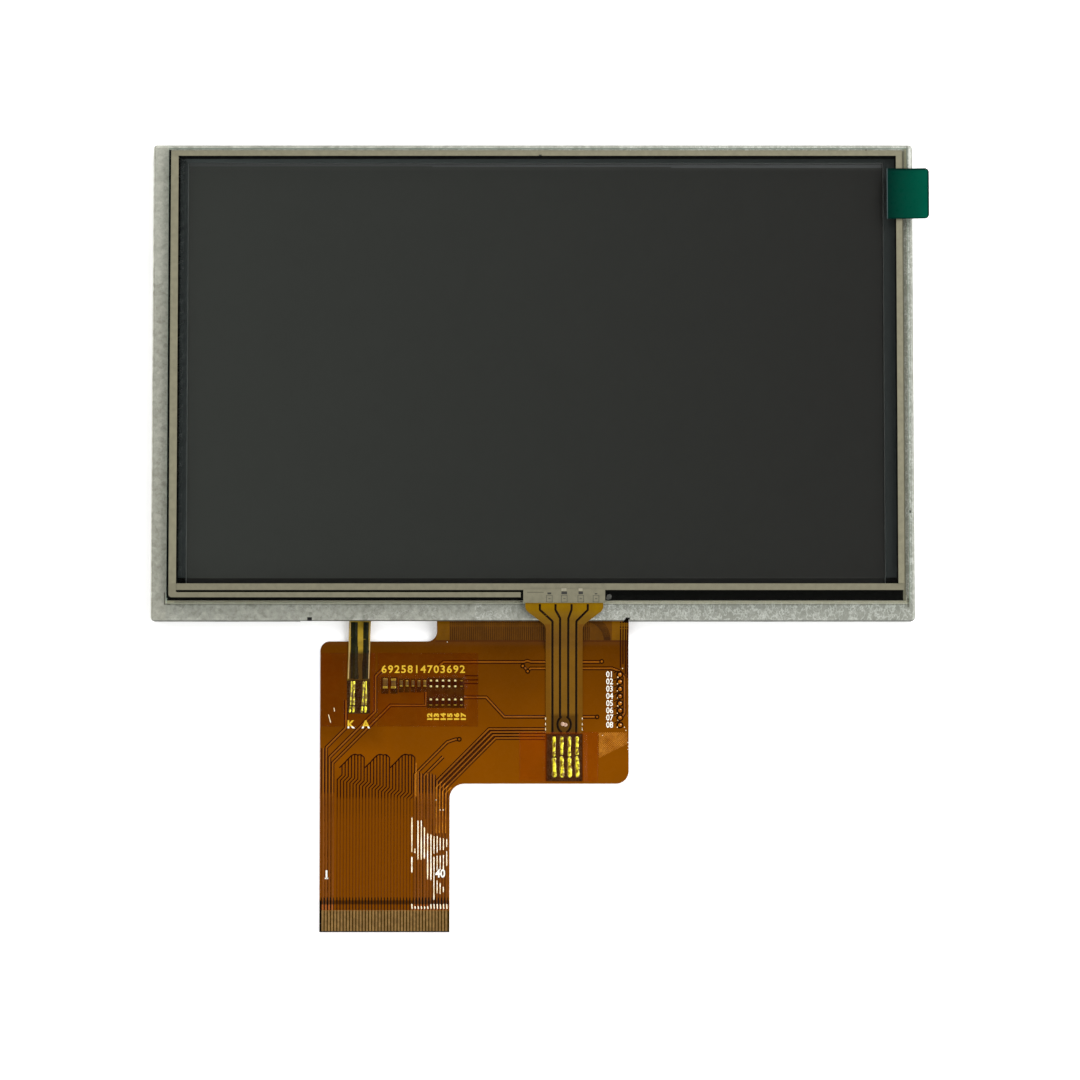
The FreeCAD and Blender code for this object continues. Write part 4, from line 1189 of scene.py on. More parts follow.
class MODULE_OT_pull_tab(bpy.types.Operator):
    """Finishes the green tab of the peel-off film"""
    bl_idname = "display_module.pull_tab"
    bl_label = "Pull Tab"

    def execute(self, context):
        panel = context.scene.module_panel
        left, right, bottom, top = plan("pull_tab")
        green = Finish("green_tab", shine=0.04)
        # Painted light: the tab grows lighter past the edge, as if lit through from behind.
        across = green.spread(green.axis("X"), left * MM, right * MM)
        tone = green.blend(across, panel.tab_inner, panel.tab_outer)
        cloud = green.spread(green.noise(green.place(), 200.0, 2.0), 0.35, 0.7, 0.0, 0.15)
        tone = green.blend(cloud, tone, shade(panel.tab_inner, 0.7))
        inside = green.zone(left - 2, right - 0.25, bottom + 0.15, top - 0.3, 0.25)
        border = green.math("MULTIPLY", green.math("SUBTRACT", 1.0, inside), 0.9)
        tone = green.patched(green.blend(border, tone, paint(0, 22, 19)), (
            # The pale strip at the tab's left edge is a painted highlight.
            (left - 1, left + 0.13, bottom - 1, top + 1, 0.06, 0.6, paint(78, 92, 94)),))
        dress(("pull_tab",), green.coat(tone, 1500.0, 0.3, 0.02, 0.25, 0.4))
        return {"FINISHED"}


class MODULE_OT_flex_films(bpy.types.Operator):
    """Finishes the three flexible circuits and the stiffeners"""
    bl_idname = "display_module.flex_films"
    bl_label = "Flexible Circuits"

    def execute(self, context):
        flex = context.scene.module_flex
        dress(("main_flex",), amber_finish(flex))
        dress(("touch_flex",), stem_finish())
        dress(("backlight_flex",), backlight_tail_finish())
        thick = plain_finish(
            "amber_stiffener", paint(126, 74, 10), paint(104, 58, 6), 200.0, 1500.0, 0.02,
            0.3, 0.45)
        dress(("tail_stiffener", "component_stiffener"), thick)
        return {"FINISHED"}


class MODULE_OT_copper_traces(bpy.types.Operator):
    """Lays the copper traces on the main flex, each with its etched gaps"""
    bl_idname = "display_module.copper_traces"
    bl_label = "Copper Traces"

    def execute(self, context):
        flex = context.scene.module_flex
        surface = Surface("main_flex")
        copper = trace_finish(flex)
        gap = gap_finish(flex)
        routes = tail_routes(flex) + [UPPER_RUN, LOWER_RUN, MIDDLE_RUN]
        wide = flex.trace_width + 2 * flex.gap_width
        gaps = [
            ribbons(routes, surface, wide, flex.gap_height, gap),
            ribbons(single_gaps(flex), surface, flex.gap_width * 1.15, flex.gap_height, gap)]
        new_piece("etched_gaps", joined(gaps), gap)
        ribbon_piece(
            "copper_traces", routes, surface, flex.trace_width, flex.trace_height, copper)
        warm = plain_finish(
            "lit_trace_edge", paint(206, 130, 24), paint(150, 84, 6), 900.0, low=0.25, high=0.4,
            shine=0.1)
        glints = [[(-18.47, -60.2), (-18.47, -65.6)]]
        for index in range(4):
            x = pin_x(FIRST_TOUCH_PIN + index, flex) - flex.trace_width / 2 / MM
            top = -63.2 - 0.3 * index
            glints.append([(x + 0.9, top), (x, top - 0.9), (x, -71.3)])
        ribbon_piece("lit_trace_edges", glints, surface, 0.1 * MM, 0.02 * MM, warm)
        return {"FINISHED"}


class MODULE_OT_neck_lines(bpy.types.Operator):
    """Draws the fine lines that fan out over the neck"""
    bl_idname = "display_module.neck_lines"
    bl_label = "Neck Lines"

    def execute(self, context):
        surface = Surface("main_flex")
        line = plain_finish(
            "neck_line", paint(46, 20, 0), scale=2500.0, low=0.22, high=0.32, shine=0.05)
        fan_start = 9.0
        routes = []
        x = -13.0
        while x < fan_start:
            routes.append([(x, NECK_TOP), (x, NECK_BOTTOM)])
            x += 0.3
        fall = ((0, 0), (0.75, -0.35), (1.4, -0.85), (1.95, -1.55), (2.2, -2.2), (2.3, -2.9))
        for index in range(8):
            x = fan_start + 0.26 * index
            reach = 1 - 0.055 * index
            routes.append([(x + dx * reach, NECK_TOP + dy) for dx, dy in fall])
        ribbon_piece("neck_lines", routes, surface, 0.1 * MM, 0.007 * MM, line)
        return {"FINISHED"}


class MODULE_OT_tail_conductors(bpy.types.Operator):
    """Draws the dark conductors of the touch tail and of the backlight tail"""
    bl_idname = "display_module.tail_conductors"
    bl_label = "Tail Conductors"

    def execute(self, context):
        carbon = plain_finish(
            "dark_conductor", paint(14, 6, 2), paint(24, 12, 3), 900.0, 3000.0,
            low=0.22, high=0.32, shine=0.03)
        head = -35.3
        outer_left = [(1.11, head), (1.11, -36.2), (3.1, -37.95), (3.1, -55.6)]
        outer_right = [(8.66, head), (8.66, -36.2), (6.87, -37.95), (6.87, -55.6)]
        inner_left = [(3.57, head), (3.57, -36.2), (4.3, -37.5), (4.3, -52.9)]
        inner_right = [(6.1, head), (6.1, -36.2), (5.6, -37.5), (5.6, -52.9)]
        routes = [outer_left, outer_right]
        for route, side in ((inner_left, -1), (inner_right, 1)):
            loop = []
            for step in range(9):
                angle = math.pi * (0.14 + 0.72 * step / 8)
                loop.append((4.95 + side * 1.06 * math.sin(angle), -54.15 + 1.3 * math.cos(angle)))
            routes.append(route + loop + [(4.95 + side * 0.55, -55.6)])
        touch = laid_ribbons(routes, "touch_flex", 0.34 * MM, 0.016 * MM, carbon)
        new_piece("touch_conductors", touch, carbon)
        strip = Surface("backlight_flex")
        pair = [
            [(-28.23, -38.0), (-28.33, -46.9)],
            [(-26.38, -38.0), (-26.5, -46.9)]]
        wide = plain_finish(
            "dark_copper", paint(14, 18, 6), paint(28, 28, 8), 700.0, 2500.0,
            low=0.22, high=0.32, shine=0.05)
        ends = [
            [(-28.05, -41.8), (-28.12, -44.0), (-27.98, -47.0)],
            [(-26.3, -42.4), (-26.62, -44.4), (-26.6, -47.0)]]
        light = joined([
            ribbons(pair[:1], strip, 1.08 * MM, 0.012 * MM, wide),
            ribbons(pair[1:], strip, 0.86 * MM, 0.012 * MM, wide),
            ribbons(ends, strip, 0.8 * MM, 0.011 * MM, wide)])
        new_piece("backlight_conductors", light, wide)
        rims = plain_finish("tan_edge", paint(160, 132, 72), low=0.3, high=0.45)
        edges = [
            [(-28.93, -38.0), (-29.22, -46.9)],
            [(-25.74, -38.0), (-26.02, -46.9)]]
        ribbon_piece("backlight_tail_rims", edges, strip, 0.2 * MM, 0.008 * MM, rims)
        return {"FINISHED"}


class MODULE_OT_solder_joints(bpy.types.Operator):
    """Builds the wetted gold fingers where the two tails are soldered down"""
    bl_idname = "display_module.solder_joints"
    bl_label = "Solder Joints"

    def execute(self, context):
        wet = Finish("wetted_gold", Metallic=0.15)
        normal = wet.add("ShaderNodeTexCoord").outputs["Normal"]
        facing = wet.add("ShaderNodeSeparateXYZ", {"Vector": normal})
        crest = wet.drift(paint(240, 230, 48), paint(118, 96, 2), 1700.0, 0.42, 0.58)
        # Painted shade: the gold turns dark where its faces lean to the left and on its steep sides.
        lean = wet.spread(facing.outputs["X"], -0.3, -0.12)
        crest = wet.blend(lean, paint(104, 82, 4), crest)
        tone = wet.blend(wet.spread(facing.outputs["Z"], 0.72, 0.94), paint(60, 44, 2), crest)
        gold = wet.coat(tone, 3500.0, 0.5, 0.02, 0.14, 0.3)
        resin = plain_finish("joint_resin", paint(34, 20, 4), paint(52, 32, 8), 800.0,
                             low=0.2, high=0.35, shine=0.3)
        low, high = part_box("touch_flex_fingers")
        pitch = (high.x - low.x - 0.66 * MM) / 3
        foot = low.z - 0.006 * MM
        bars = []
        for index in range(4):
            x = low.x + 0.33 * MM + index * pitch
            middle = -59.3 * MM + (0.2 * MM if index % 2 else 0)
            bars.append(crowned_bar(
                (x - 0.02 * MM, middle), (x, high.y), foot, 0.66 * MM, 0.09 * MM, 0.45, 11 + index))
            bars.append(crowned_bar(
                (x + 0.06 * MM, low.y), (x - 0.02 * MM, middle), foot, 0.84 * MM, 0.12 * MM,
                0.4, 21 + index))
        new_piece(
            "touch_solder_fingers", joined(bars), gold, ("touch_flex_fingers",))
        well = thin_plate(2.25, 7.75, -63.1, -55.75, low.z - 0.02 * MM, low.z + 0.004 * MM)
        new_piece("touch_joint_well", well, resin)
        low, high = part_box("backlight_joints")
        foot = low.z - 0.006 * MM
        bars = []
        for number, x in enumerate((low.x + 0.525 * MM, high.x - 0.525 * MM)):
            for side, seed in ((-0.24, 31), (0.26, 41)):
                start = (x + (side * 1.15 - 0.1) * MM, low.y)
                neck = (x + side * MM, low.y + 1.1 * MM)
                end = (x + (side * 0.7 + 0.12) * MM, high.y)
                width = 0.46 * MM if side < 0 else 0.54 * MM
                bars.append(crowned_bar(
                    start, neck, foot, width, 0.09 * MM, 0.5, seed + number))
                bars.append(crowned_bar(
                    neck, end, foot, width * 0.9, 0.1 * MM, 0.6, seed + number + 4))
        new_piece(
            "backlight_solder_fingers", joined(bars), gold,
            ("backlight_joints",))
        well = thin_plate(-29.45, -25.75, -52.45, -46.9, low.z - 0.02 * MM, low.z + 0.004 * MM)
        new_piece("backlight_joint_well", well, resin)
        return {"FINISHED"}


# Soldered parts as (node, columns, rows, width, length, height), in millimetres
PART_GROUPS = (
    ("large_capacitors", 2, 1, 0.8, 1.6, 0.6),
    ("small_capacitors", 5, 1, 0.5, 1.0, 0.5),
    ("chip_resistors", 6, 2, 0.5, 1.0, 0.35))


class MODULE_OT_soldered_parts(bpy.types.Operator):
    """Builds the capacitors and resistors with their tinned ends, the resistors' ends with painted
    glints
    """
    bl_idname = "display_module.soldered_parts"
    bl_label = "Soldered Parts"

    def places(self, node, columns, width, length):
        """Places of the parts in one group, read from its box."""
        low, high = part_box(node)
        pitch = (high.x - low.x - width) / (columns - 1)
        heights = {low.y + length / 2, high.y - length / 2}
        return [
            Vector((low.x + width / 2 + column * pitch, y, low.z))
            for y in sorted(heights) for column in range(columns)]

    def execute(self, context):
        ceramic = plain_finish(
            "capacitor_body", paint(94, 74, 8), paint(66, 48, 4), 1500.0, 4000.0,
            low=0.3, high=0.45)
        black = plain_finish(
            "resistor_body", paint(10, 6, 2), paint(24, 14, 4), 900.0, 4000.0,
            low=0.3, high=0.45, shine=0.1)
        # The tinned ends are coloured near white as a painted glint.
        tin_glint = Finish("tinned_end_glint", Metallic=0.1)
        tin_glint = tin_glint.coat(
            tin_glint.drift(paint(255, 250, 190), paint(240, 230, 140), 3000.0),
            6000.0, 0.3, 0.01, 0.16, 0.3)
        dull = Finish("solder_fillet", Metallic=0.3)
        dull = dull.coat(
            dull.drift(paint(210, 184, 54), paint(146, 118, 22), 3000.0),
            6000.0, 0.3, 0.01, 0.2, 0.35)
        dots = []
        fillets = []
        bodies = {}
        for node, columns, _, width, length, height in PART_GROUPS:
            width, length, height = width * MM, length * MM, height * MM
            places = self.places(node, columns, width, length)
            dark = node == "chip_resistors"
            block = rounded_block(
                width * 0.94, length * (0.62 if dark else 0.9), height * 0.96, 0.03 * MM)
            bodies[node] = copies(places, block, black if dark else ceramic)
            cap_length = length * (0.16 if dark else 0.24)
            caps = []
            for place in places:
                for side in (-1, 1):
                    caps.append(place + Vector((0, side * (length - cap_length) / 2, 0)))
            if dark:
                lowest = min(cap.y for cap in caps) + 0.1 * MM
                rightmost = max(cap.x for cap in caps) - 0.1 * MM
                middle = (lowest + max(cap.y for cap in caps)) / 2
                # Lit and unlit copies of one solder: the glinting ends get pale domes, the rest dull
                # low blocks.
                dim = [c for c in caps if c.y < lowest or (c.x > rightmost and c.y > middle)]
                bright = [c for c in caps if c not in dim]
                dots.append(copies(bright, dome(width * 0.46, height * 1.02), tin_glint, 0.9))
                low_block = rounded_block(width * 0.9, cap_length * 0.8, height * 0.7, 0.05 * MM)
                fillets.append(copies(dim, low_block, dull, 0.9))
            else:
                cap = rounded_block(width, cap_length, height, 0.1 * MM)
                fillets.append(copies(caps, cap, dull, 0.93))
        new_piece(
            "capacitor_bodies",
            joined([bodies["large_capacitors"], bodies["small_capacitors"]]),
            ceramic, ("large_capacitors", "small_capacitors"))
        new_piece(
            "resistor_bodies", bodies["chip_resistors"], black,
            ("chip_resistors",))
        new_piece("resistor_ends", joined(dots), tin_glint)
        new_piece("capacitor_ends", joined(fillets), dull)
        # Dark plates on the film under and around the soldered parts.
        field = plain_finish(
            "dark_field", paint(34, 20, 0), paint(56, 36, 2), 900.0, low=0.25, high=0.4,
            shine=0.05)
        fields = [
            (-16.75, -10.85, -51.55, -46.75), (-24.0, -22.85, -49.3, -46.7),
            (-22.55, -21.4, -49.3, -46.7)]
        for index in range(5):
            x = -20.83 + 0.935 * index
            fields.append((x - 0.4, x + 0.4, -49.1, -46.9))
        plates = [thin_plate(*place, PARTS_FLOOR - SINK, PARTS_FLOOR + 9e-6) for place in fields]
        new_piece("solder_fields", joined(plates), field)
        return {"FINISHED"}


class MODULE_OT_contacts(bpy.types.Operator):
    """Finishes the contact fingers at the end of the tail"""
    bl_idname = "display_module.contacts"
    bl_label = "Contact Fingers"

    def execute(self, context):
        gold = Finish("worn_gold", Metallic=0.25)
        tone = gold.drift(paint(134, 102, 54), paint(116, 87, 44), 1400.0, 0.4, 0.6)
        dress(("connector_fingers",), gold.coat(tone, 3500.0, 0.35, 0.012, 0.32, 0.46))
        return {"FINISHED"}


class MODULE_OT_test_pads(bpy.types.Operator):
    """Builds the test pads with their hooked runs, and the vias"""
    bl_idname = "display_module.test_pads"
    bl_label = "Test Pads"

    def execute(self, context):
        copper = plain_finish(
            "pad_copper", paint(160, 92, 8), paint(112, 56, 0), 1400.0, 3500.0,
            low=0.3, high=0.45, shine=0.05)
        hole = plain_finish("via_hole", paint(26, 8, 0), low=0.4, high=0.5, shine=0.03)
        glint = ink_and_glint_finish("pad_glint", paint(250, 214, 160))
        low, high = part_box("test_pads")
        radius = (high.x - low.x) / 2
        pitch = (high.y - low.y - 2 * radius) / 7
        x = (low.x + high.x) / 2
        places = [Vector((x, high.y - radius - index * pitch, low.z)) for index in range(8)]
        pads = copies(places, dome(radius * 0.92, high.z - low.z, 20), copper)
        new_piece("pad_domes", pads, copper, ("test_pads",))
        surface = Surface("main_flex")
        hooks = []
        shines = []
        chance = random.Random(9)
        for place in places:
            x, y = place.x / MM, place.y / MM
            hook = []
            for step in range(8):
                angle = math.radians(95 + 24 * step)
                hook.append((x + 0.05 + 0.6 * math.cos(angle), y + 0.5 * math.sin(angle)))
            start_x, start_y = hook[0]
            hooks += [hook, [
                (start_x - 0.95 + chance.uniform(-0.1, 0.1), start_y - 0.22),
                (start_x - 0.5, start_y + 0.02), (start_x, start_y), (start_x + 0.4, start_y - 0.2)]]
            for dx, dy in ((0.05, 0.16), (-0.42, -0.34)):
                shine = place + Vector((
                    dx + chance.uniform(-0.1, 0.1), dy + chance.uniform(-0.08, 0.08), 0)) * MM
                shine.z = low.z + 0.012 * MM
                shines.append(shine)
        dark = ribbons(hooks, surface, 0.16 * MM, 0.014 * MM, hole)
        outline = flat_ring(radius * 1.5, radius * 0.88, 0.014 * MM)
        rings = copies([p - Vector((0, 0, 2e-6)) for p in places], outline, hole, 1.0)
        spots = surface.spots(VIA_PLACES)
        glints = copies(shines, dome(0.11 * MM, 0.03 * MM, 10, 3), glint, 0.6, 5)
        vias = copies(spots, flat_ring(0.39 * MM, 0.2 * MM, 0.02 * MM), hole, seed=7)
        centres = copies(spots, dome(0.2 * MM, 0.02 * MM, 12, 3), copper, seed=7)
        new_piece("pad_hooks", joined([dark, rings]), hole)
        new_piece("pad_glints", glints, glint)
        new_piece("via_rings", vias, hole)
        new_piece("via_centres", centres, copper)
        return {"FINISHED"}


def smooth_step(share):
    share = min(1.0, max(0.0, share))
    return share * share * (3 - 2 * share)


def draped_film(left, right, bottom, top, base, thickness, bumps, fall, step=0.16):
    """Closed thin film over a rectangle, pulled up over bumps of (left, right, bottom, top, height).

    Plan and fall are in millimetres; base, thickness and the bumps' heights are in metres.
    """
    across = max(2, int((right - left) / step))
    along = max(2, int((top - bottom) / step))
    builder = bmesh.new()
    lower = []
    upper = []
    for row in range(along + 1):
        for column in range(across + 1):
            x = left + (right - left) * column / across
            y = bottom + (top - bottom) * row / along
            rise = 0.0
            for x0, x1, y0, y1, height in bumps:
                away = math.hypot(max(x0 - x, 0, x - x1), max(y0 - y, 0, y - y1))
                rise = max(rise, height * smooth_step(1 - away / fall))
            lower.append(builder.verts.new((x * MM, y * MM, base + rise)))
            upper.append(builder.verts.new((x * MM, y * MM, base + rise + thickness)))
    wide = across + 1
    for row in range(along):
        for column in range(across):
            corner = row * wide + column
            square = (corner, corner + 1, corner + wide + 1, corner + wide)
            builder.faces.new([upper[index] for index in square])
            builder.faces.new([lower[index] for index in reversed(square)])
    rim = [edge for edge in builder.edges if edge.is_boundary]
    low_rim = [edge for edge in rim if edge.verts[0] in set(lower)]
    for edge in low_rim:
        first, second = [lower.index(vertex) for vertex in edge.verts]
        builder.faces.new((lower[first], lower[second], upper[second], upper[first]))
    return closed(builder, lambda face: abs(face.normal.z) > 0.1)


class MODULE_OT_amber_tapes(bpy.types.Operator):
    """Builds the thin amber tapes that hug the soldered parts and the joints"""
    bl_idname = "display_module.amber_tapes"
    bl_label = "Amber Tapes"

    def tape_finish(self, name, first, second, tail):
        """Thin clear tape that tints what lies under it, less so over a soldered tail."""
        tape = Finish(name, shine=0.15)
        tape.put("Base Color", tape.drift(first, second, 220.0))
        cloud = tape.spread(tape.noise(tape.place(), 300.0, 3.0), 0.3, 0.7, 0.08, 0.13)
        over_tail = tape.math("MULTIPLY", tape.zone(*tail, 0.2), 0.75)
        tape.put("Alpha", tape.math("MULTIPLY", cloud, tape.math("SUBTRACT", 1.0, over_tail)))
        tape.grain(900.0, 0.2, 0.02, 0.1, 0.2)
        return tape.material

    def execute(self, context):
        tape = self.tape_finish(
            "amber_tape", paint(112, 30, 0), paint(96, 27, 0), (-29.4, -25.7, -52.5, -40))
        joint_tape = self.tape_finish(
            "joint_tape", paint(162, 58, 0), paint(146, 52, 0), (2.2, 7.8, -63.2, -55.7))
        parts = []
        for node, _, rows, _, length, _ in PART_GROUPS:
            low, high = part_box(node)
            left, right, bottom, top = plan(node)
            for y in (bottom, top - length)[:rows]:
                parts.append((left, right, y, y + length, high.z - low.z + 0.02 * MM))
        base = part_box("component_tape")[0].z + 0.018 * MM
        thickness = 0.03 * MM
        film = draped_film(*plan("component_tape"), base, thickness, parts, 0.9)
        new_piece("parts_tape", film, tape, ("component_tape",))
        low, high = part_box("backlight_joint_tape")
        tail = [(-29.6, -25.4, -60, -40, high.z - low.z - 0.05 * MM)]
        film = draped_film(*plan("backlight_joint_tape"), base, thickness, tail, 0.5, 0.25)
        new_piece("backlight_tape", film, tape, ("backlight_joint_tape",))
        tail = [(1.9, 8.1, -70, -40, 0.24 * MM)]
        film = draped_film(-2.15, 10.35, -63.2, -55.35, base, thickness, tail, 0.5, 0.25)
        new_piece("touch_tape", film, joint_tape, ("touch_joint_tape",))
        return {"FINISHED"}


class MODULE_OT_marks(bpy.types.Operator):
    """Prints the plain numbers and the polarity marks"""
    bl_idname = "display_module.marks"
    bl_label = "Printed Marks"

    def execute(self, context):
        sizes = context.scene.module_print
        white = ink_and_glint_finish("white_ink", sizes.white)
        under_tape = (-60, 60, -60, plan("component_tape")[2], 0.1, 1, sizes.white)
        yellow = ink_and_glint_finish("yellow_ink", sizes.yellow, (under_tape,), 0.8)
        base = PARTS_FLOOR + 0.008 * MM
        thick = 0.016 * MM
        high = base + 0.02 * MM
        tail = [
            thin_plate(-32.82, -32.28, -78.5, -78.32, high - thick / 2, high + thick / 2),
            lettering("1", sizes.pin_number, -32.55, -77.85, high, thick, bold=0.05),
            lettering("40", sizes.pin_number, -14.6, -77.7, high + 0.05 * MM, thick,
                      bold=0.05, stretch=0.9)]
        _, _, bottom, top = plan("test_pads")
        pitch = (top - bottom - 0.7) / 7
        for index in range(8):
            tail.append(lettering(
                f"0{index + 1}", sizes.pad_number, 12.15, top - 0.35 - index * pitch, base, thick,
                bold=0.02, stretch=0.85))
        new_piece("white_marks", joined(tail), white)
        marks = []
        for index in range(13):
            marks.append(lettering(
                str((index * 3 + 6) % 10), sizes.part_number, -23.56 + index * 1.034, -45.48, base,
                thick, bold=0.03, stretch=1.05))
        for index in range(6):
            marks.append(lettering(
                str(12 + index), sizes.part_number * 0.62, -16.28 + index * 1.064, -53.0, base,
                thick, math.pi / 2, bold=0.06, stretch=1.2))
        for letter, x in (("K", -28.82), ("A", -26.43)):
            marks.append(lettering(letter, sizes.pin_number, x, -54.2, base, thick, bold=0.05))
        new_piece("yellow_marks", joined(marks), yellow)
        return {"FINISHED"}


# Raised channels of the cover film on the tail, coloured near white as painted glints, as (x, top,
# bottom) in millimetres
CHANNELS = (
    (-19.1, -68.8, -74.35), (-19.1, -75.0, -77.5), (-18.62, -73.7, -74.45),
    (-18.14, -69.2, -75.6), (-17.62, -69.2, -75.6), (-17.13, -70.3, -75.4),
    (-16.61, -71.2, -78.7), (-16.09, -71.4, -78.8), (-15.61, -71.7, -74.6),
    (-15.61, -74.9, -81.9), (-15.11, -71.7, -74.4), (-15.11, -74.8, -77.2),
    (-15.11, -78.7, -80.8), (-14.63, -72.0, -74.0), (-14.63, -74.8, -77.2),
    (-14.63, -79.1, -80.9), (-14.12, -72.1, -74.0), (-14.12, -74.7, -77.2),
    (-14.12, -79.7, -80.6), (-13.6, -72.2, -73.5), (-13.6, -74.1, -76.5))
LAST_CHANNELS = (-19.1, 12, -82.4, -83.25)
SPECKS = (
    (-27.44, -43.95), (-13.54, -41.11), (-14.64, -67.65),
    (-14.17, -67.65), (-15.28, -66.07), (15.03, -57.0), (15.1, -57.6), (15.03, -58.1),
    (14.2, -45.3), (14.5, -54.6), (14.7, -55.1), (11.0, -55.9))


class MODULE_OT_cover_ridges(bpy.types.Operator):
    """Raises the cover film in channels over the tail's traces, with a few specks; channels and
    specks are coloured near white as painted glints
    """
    bl_idname = "display_module.cover_ridges"
    bl_label = "Cover Ridges"

    def bar(self, x, top, bottom, lean, width, height, lift, uneven, seed, steps):
        """One raised channel, with its measures in millimetres."""
        base = PARTS_FLOOR + (lift - 0.003) * MM
        return crowned_bar(
            ((x + lean) * MM, bottom * MM), (x * MM, top * MM), base, width * MM, height * MM,
            uneven, seed, steps, 6)

    def execute(self, context):
        # The near white of this film is a painted glint.
        film = Finish("raised_film_glint", IOR=1.6)
        film = film.coat(
            film.drift(paint(250, 246, 226), paint(226, 206, 160), 900.0),
            2500.0, 0.35, 0.02, 0.08, 0.2)
        bars = []
        for number, (x, top, bottom) in enumerate(CHANNELS):
            width = 0.2 if x < -16 else 0.17
            bars.append(self.bar(x, top, bottom, 0, width, 0.05, 0, 0.5, 50 + number, 26))
        first, count, top, bottom = LAST_CHANNELS
        for index in range(count):
            lower = 0.35 if 0 < index < 6 else 0
            bars.append(self.bar(
                first + 0.5 * index, top - lower, bottom, 0.06, 0.2, 0.05, 0, 0.4, 80 + index, 8))
        # Two pale strokes on the tape by the backlight tail: painted highlights of bubbles in the
        # tape.
        bars.append(self.bar(-32.35, -52.55, -53.9, 0.38, 0.13, 0.03, 0.05, 0.5, 97, 12))
        bars.append(self.bar(-31.47, -51.5, -52.1, 0.1, 0.13, 0.03, 0.05, 0.5, 98, 12))
        for x in (2.02, 7.8):
            for y in (-53.5, -54.35, -55.15):
                bars.append(self.bar(x, y + 0.5, y, 0, 0.18, 0.14, 0.01, 0.4, int(-y), 8))
        # The specks are painted glints.
        specks = Surface("main_flex").spots(SPECKS)
        bars.append(copies(specks, dome(0.1 * MM, 0.03 * MM, 10, 3), film, 0.5, 11))
        new_piece("cover_ridges", joined(bars), film)
        # Pale domes in the bulb of the touch tail: a pale blob, with a painted glint in its colour.
        blob = plain_finish(
            "bulb_blob_glint", paint(150, 116, 92), paint(206, 176, 154), 1500.0, low=0.1, high=0.2)
        spots = Surface("touch_flex").spots(((4.72, -54.1), (5.16, -54.2)), SINK)
        blobs = copies(spots, dome(0.34 * MM, 0.1 * MM, 16, 4), blob, 0.8, 3)
        new_piece("stem_blobs", blobs, blob)
        return {"FINISHED"}


# Left, right, bottom and top of the hatched patch, and the step between its lines, in
# millimetres. Its lower edge rises to the right by the given share of its height.
HATCH = (10.4, 14.9, -59.5, -55.4)
HATCH_STEP = 0.34
HATCH_RISE = 0.55


class MODULE_OT_copper_mesh(bpy.types.Operator):
    """Lays the cross-hatched copper patch near the lower right corner"""
    bl_idname = "display_module.copper_mesh"
    bl_label = "Copper Mesh"

    def execute(self, context):
        surface = Surface("main_flex")
        light = plain_finish(
            "hatch_copper", paint(184, 118, 34), paint(150, 88, 14), 500.0, 3000.0,
            low=0.25, high=0.4, shine=0.08)
        left, right, bottom, top = HATCH
        routes = []
        count = int(((right - left) + (top - bottom)) / HATCH_STEP)
        for index in range(1, count):
            offset = index * HATCH_STEP
            falls = []
            for x in (max(left, left + offset - (top - bottom)), min(right, left + offset)):
                falls.append((x, bottom + offset - (x - left)))
            mirrored = [(left + right - x, y) for x, y in falls]
            routes += [self.cut(falls), self.cut(mirrored)]
        routes = [route for route in routes if route and math.dist(*route) > 0.3]
        ribbon_piece("hatched_copper", routes, surface, 0.09 * MM, 0.01 * MM, light)
        return {"FINISHED"}

    def depth(self, point):
        """How far a point lies above the patch's slanting lower edge."""
        left, right, bottom, top = HATCH
        return point[1] - (bottom + (point[0] - left) * (top - bottom) * HATCH_RISE / (right - left))

    def cut(self, line):
        """Part of a line above the patch's slanting lower edge."""
        start, end = line
        first, last = self.depth(start), self.depth(end)
        if first < 0 and last < 0:
            return None
        if first >= 0 and last >= 0:
            return [start, end]
        share = first / (first - last)
        meeting = tuple(a + (b - a) * share for a, b in zip(start, end))
        return [start, meeting] if first >= 0 else [meeting, end]


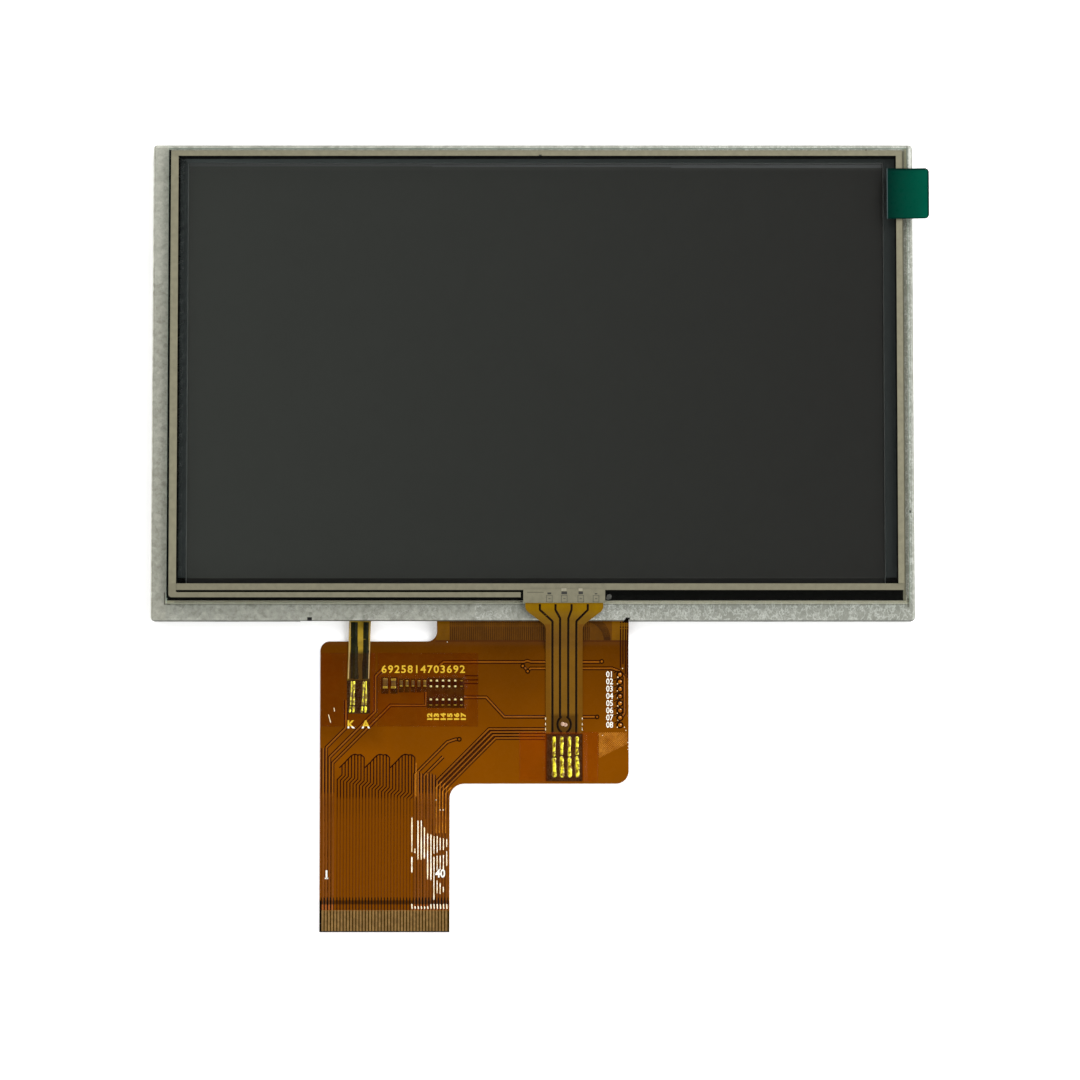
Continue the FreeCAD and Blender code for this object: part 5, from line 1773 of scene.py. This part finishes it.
class MODULE_OT_stage(bpy.types.Operator):
    """Sets the pale floor, the soft lights and the camera"""
    bl_idname = "display_module.stage"
    bl_label = "Stage"

    def light(self, name, place, aim, size, power):
        lamp = bpy.data.lights.new(name, "AREA")
        lamp.shape = "RECTANGLE"
        lamp.size = size[0]
        lamp.size_y = size[1]
        lamp.energy = power
        holder = shown(name, lamp)
        holder.location = place
        holder.rotation_euler = (aim - Vector(place)).to_track_quat("-Z", "Y").to_euler()

    def execute(self, context):
        stage = context.scene.module_stage
        builder = bmesh.new()
        bmesh.ops.create_grid(builder, x_segments=1, y_segments=1, size=4.0)
        bmesh.ops.translate(builder, vec=(0, 0, -0.00003), verts=builder.verts)
        paper = Finish("pale_floor", Roughness=0.9, shine=0.1)
        paper.put("Emission Color", (1.0, 1.0, 1.0, 1.0))
        paper.put("Emission Strength", 0.22)
        paper.put("Base Color", paper.drift(stage.floor, shade(stage.floor, 0.985), 3.0))
        floor = shown("floor", mesh_from(builder, "floor"))
        floor.data.materials.append(paper.material)
        aim = Vector(stage.aim)
        self.light("key_light", (0.42, 0.50, 0.55), aim, (0.35, 0.35), stage.key_power)
        self.light("strip_light", (0.46, -0.12, 0.44), aim, (0.05, 0.5), stage.strip_power)
        world = bpy.data.worlds.new("studio")
        world.use_nodes = True
        sky = Wiring(world.node_tree)
        direction = sky.add("ShaderNodeTexCoord").outputs["Generated"]
        up = sky.axis("Z", direction)
        toward = sky.add("ShaderNodeVectorMath", operation="DOT_PRODUCT")
        sky.feed(toward.inputs[0], direction)
        sky.feed(toward.inputs[1], (0.5, 0.87, 0.0))
        side = sky.spread(toward.outputs["Value"], -0.9, 0.9, 1.0, 2.1)
        level = sky.math("MULTIPLY", side, sky.spread(up, 0.8, 0.95, 1.0, 0.02))
        tone = sky.add("ShaderNodeCombineColor", {
            "Red": level, "Green": level, "Blue": level}).outputs[0]
        backdrop = world.node_tree.nodes["Background"]
        sky.feed(backdrop.inputs["Color"], tone)
        backdrop.inputs["Strength"].default_value = 1.0
        context.scene.world = world
        camera = bpy.data.cameras.new("camera")
        camera.lens = stage.lens
        camera.clip_start = 0.01
        holder = shown("camera", camera)
        back = Vector((0, -math.sin(stage.tilt), math.cos(stage.tilt)))
        holder.location = aim + back * stage.distance
        holder.rotation_euler = (stage.tilt, 0, 0)
        context.scene.camera = holder
        context.scene.view_settings.view_transform = "Standard"
        return {"FINISHED"}


class MODULE_PT_panel(bpy.types.Panel):
    """Lists the steps that dress the module"""
    bl_label = "Touch Display Module"
    bl_idname = "MODULE_PT_panel"
    bl_space_type = "VIEW_3D"
    bl_region_type = "UI"
    bl_category = "Display Module"

    def draw(self, context):
        for operator in OPERATORS:
            self.layout.operator(operator.bl_idname)
        for name in SETTINGS:
            settings = getattr(context.scene, name)
            box = self.layout.box()
            for label in settings.__annotations__:
                box.prop(settings, label)


SETTINGS = {
    "module_steel": SteelSettings,
    "module_panel": PanelSettings,
    "module_flex": FlexSettings,
    "module_print": PrintSettings,
    "module_stage": StageSettings,
}

OPERATORS = (
    MODULE_OT_stage,
    MODULE_OT_steel_shells,
    MODULE_OT_backlight,
    MODULE_OT_display_cell,
    MODULE_OT_touch_panel,
    MODULE_OT_silver_print,
    MODULE_OT_pull_tab,
    MODULE_OT_flex_films,
    MODULE_OT_copper_traces,
    MODULE_OT_neck_lines,
    MODULE_OT_tail_conductors,
    MODULE_OT_solder_joints,
    MODULE_OT_soldered_parts,
    MODULE_OT_contacts,
    MODULE_OT_test_pads,
    MODULE_OT_amber_tapes,
    MODULE_OT_marks,
    MODULE_OT_cover_ridges,
    MODULE_OT_copper_mesh,
)


def register():
    for kind in (*SETTINGS.values(), *OPERATORS, MODULE_PT_panel):
        bpy.utils.register_class(kind)
    for name, kind in SETTINGS.items():
        setattr(bpy.types.Scene, name, PointerProperty(type=kind))


def unregister():
    for name in SETTINGS:
        delattr(bpy.types.Scene, name)
    for kind in reversed((*SETTINGS.values(), *OPERATORS, MODULE_PT_panel)):
        bpy.utils.unregister_class(kind)


def main():
    register()
    for make_group in (
            grain_group, drift_group, zone_group, spangle_group, ribbon_tree, laid_ribbon_tree,
            copies_tree):
        make_group()
    for operator in OPERATORS:
        area, name = operator.bl_idname.split(".")
        getattr(getattr(bpy.ops, area), name)()


if __name__ == "__main__":
    main()
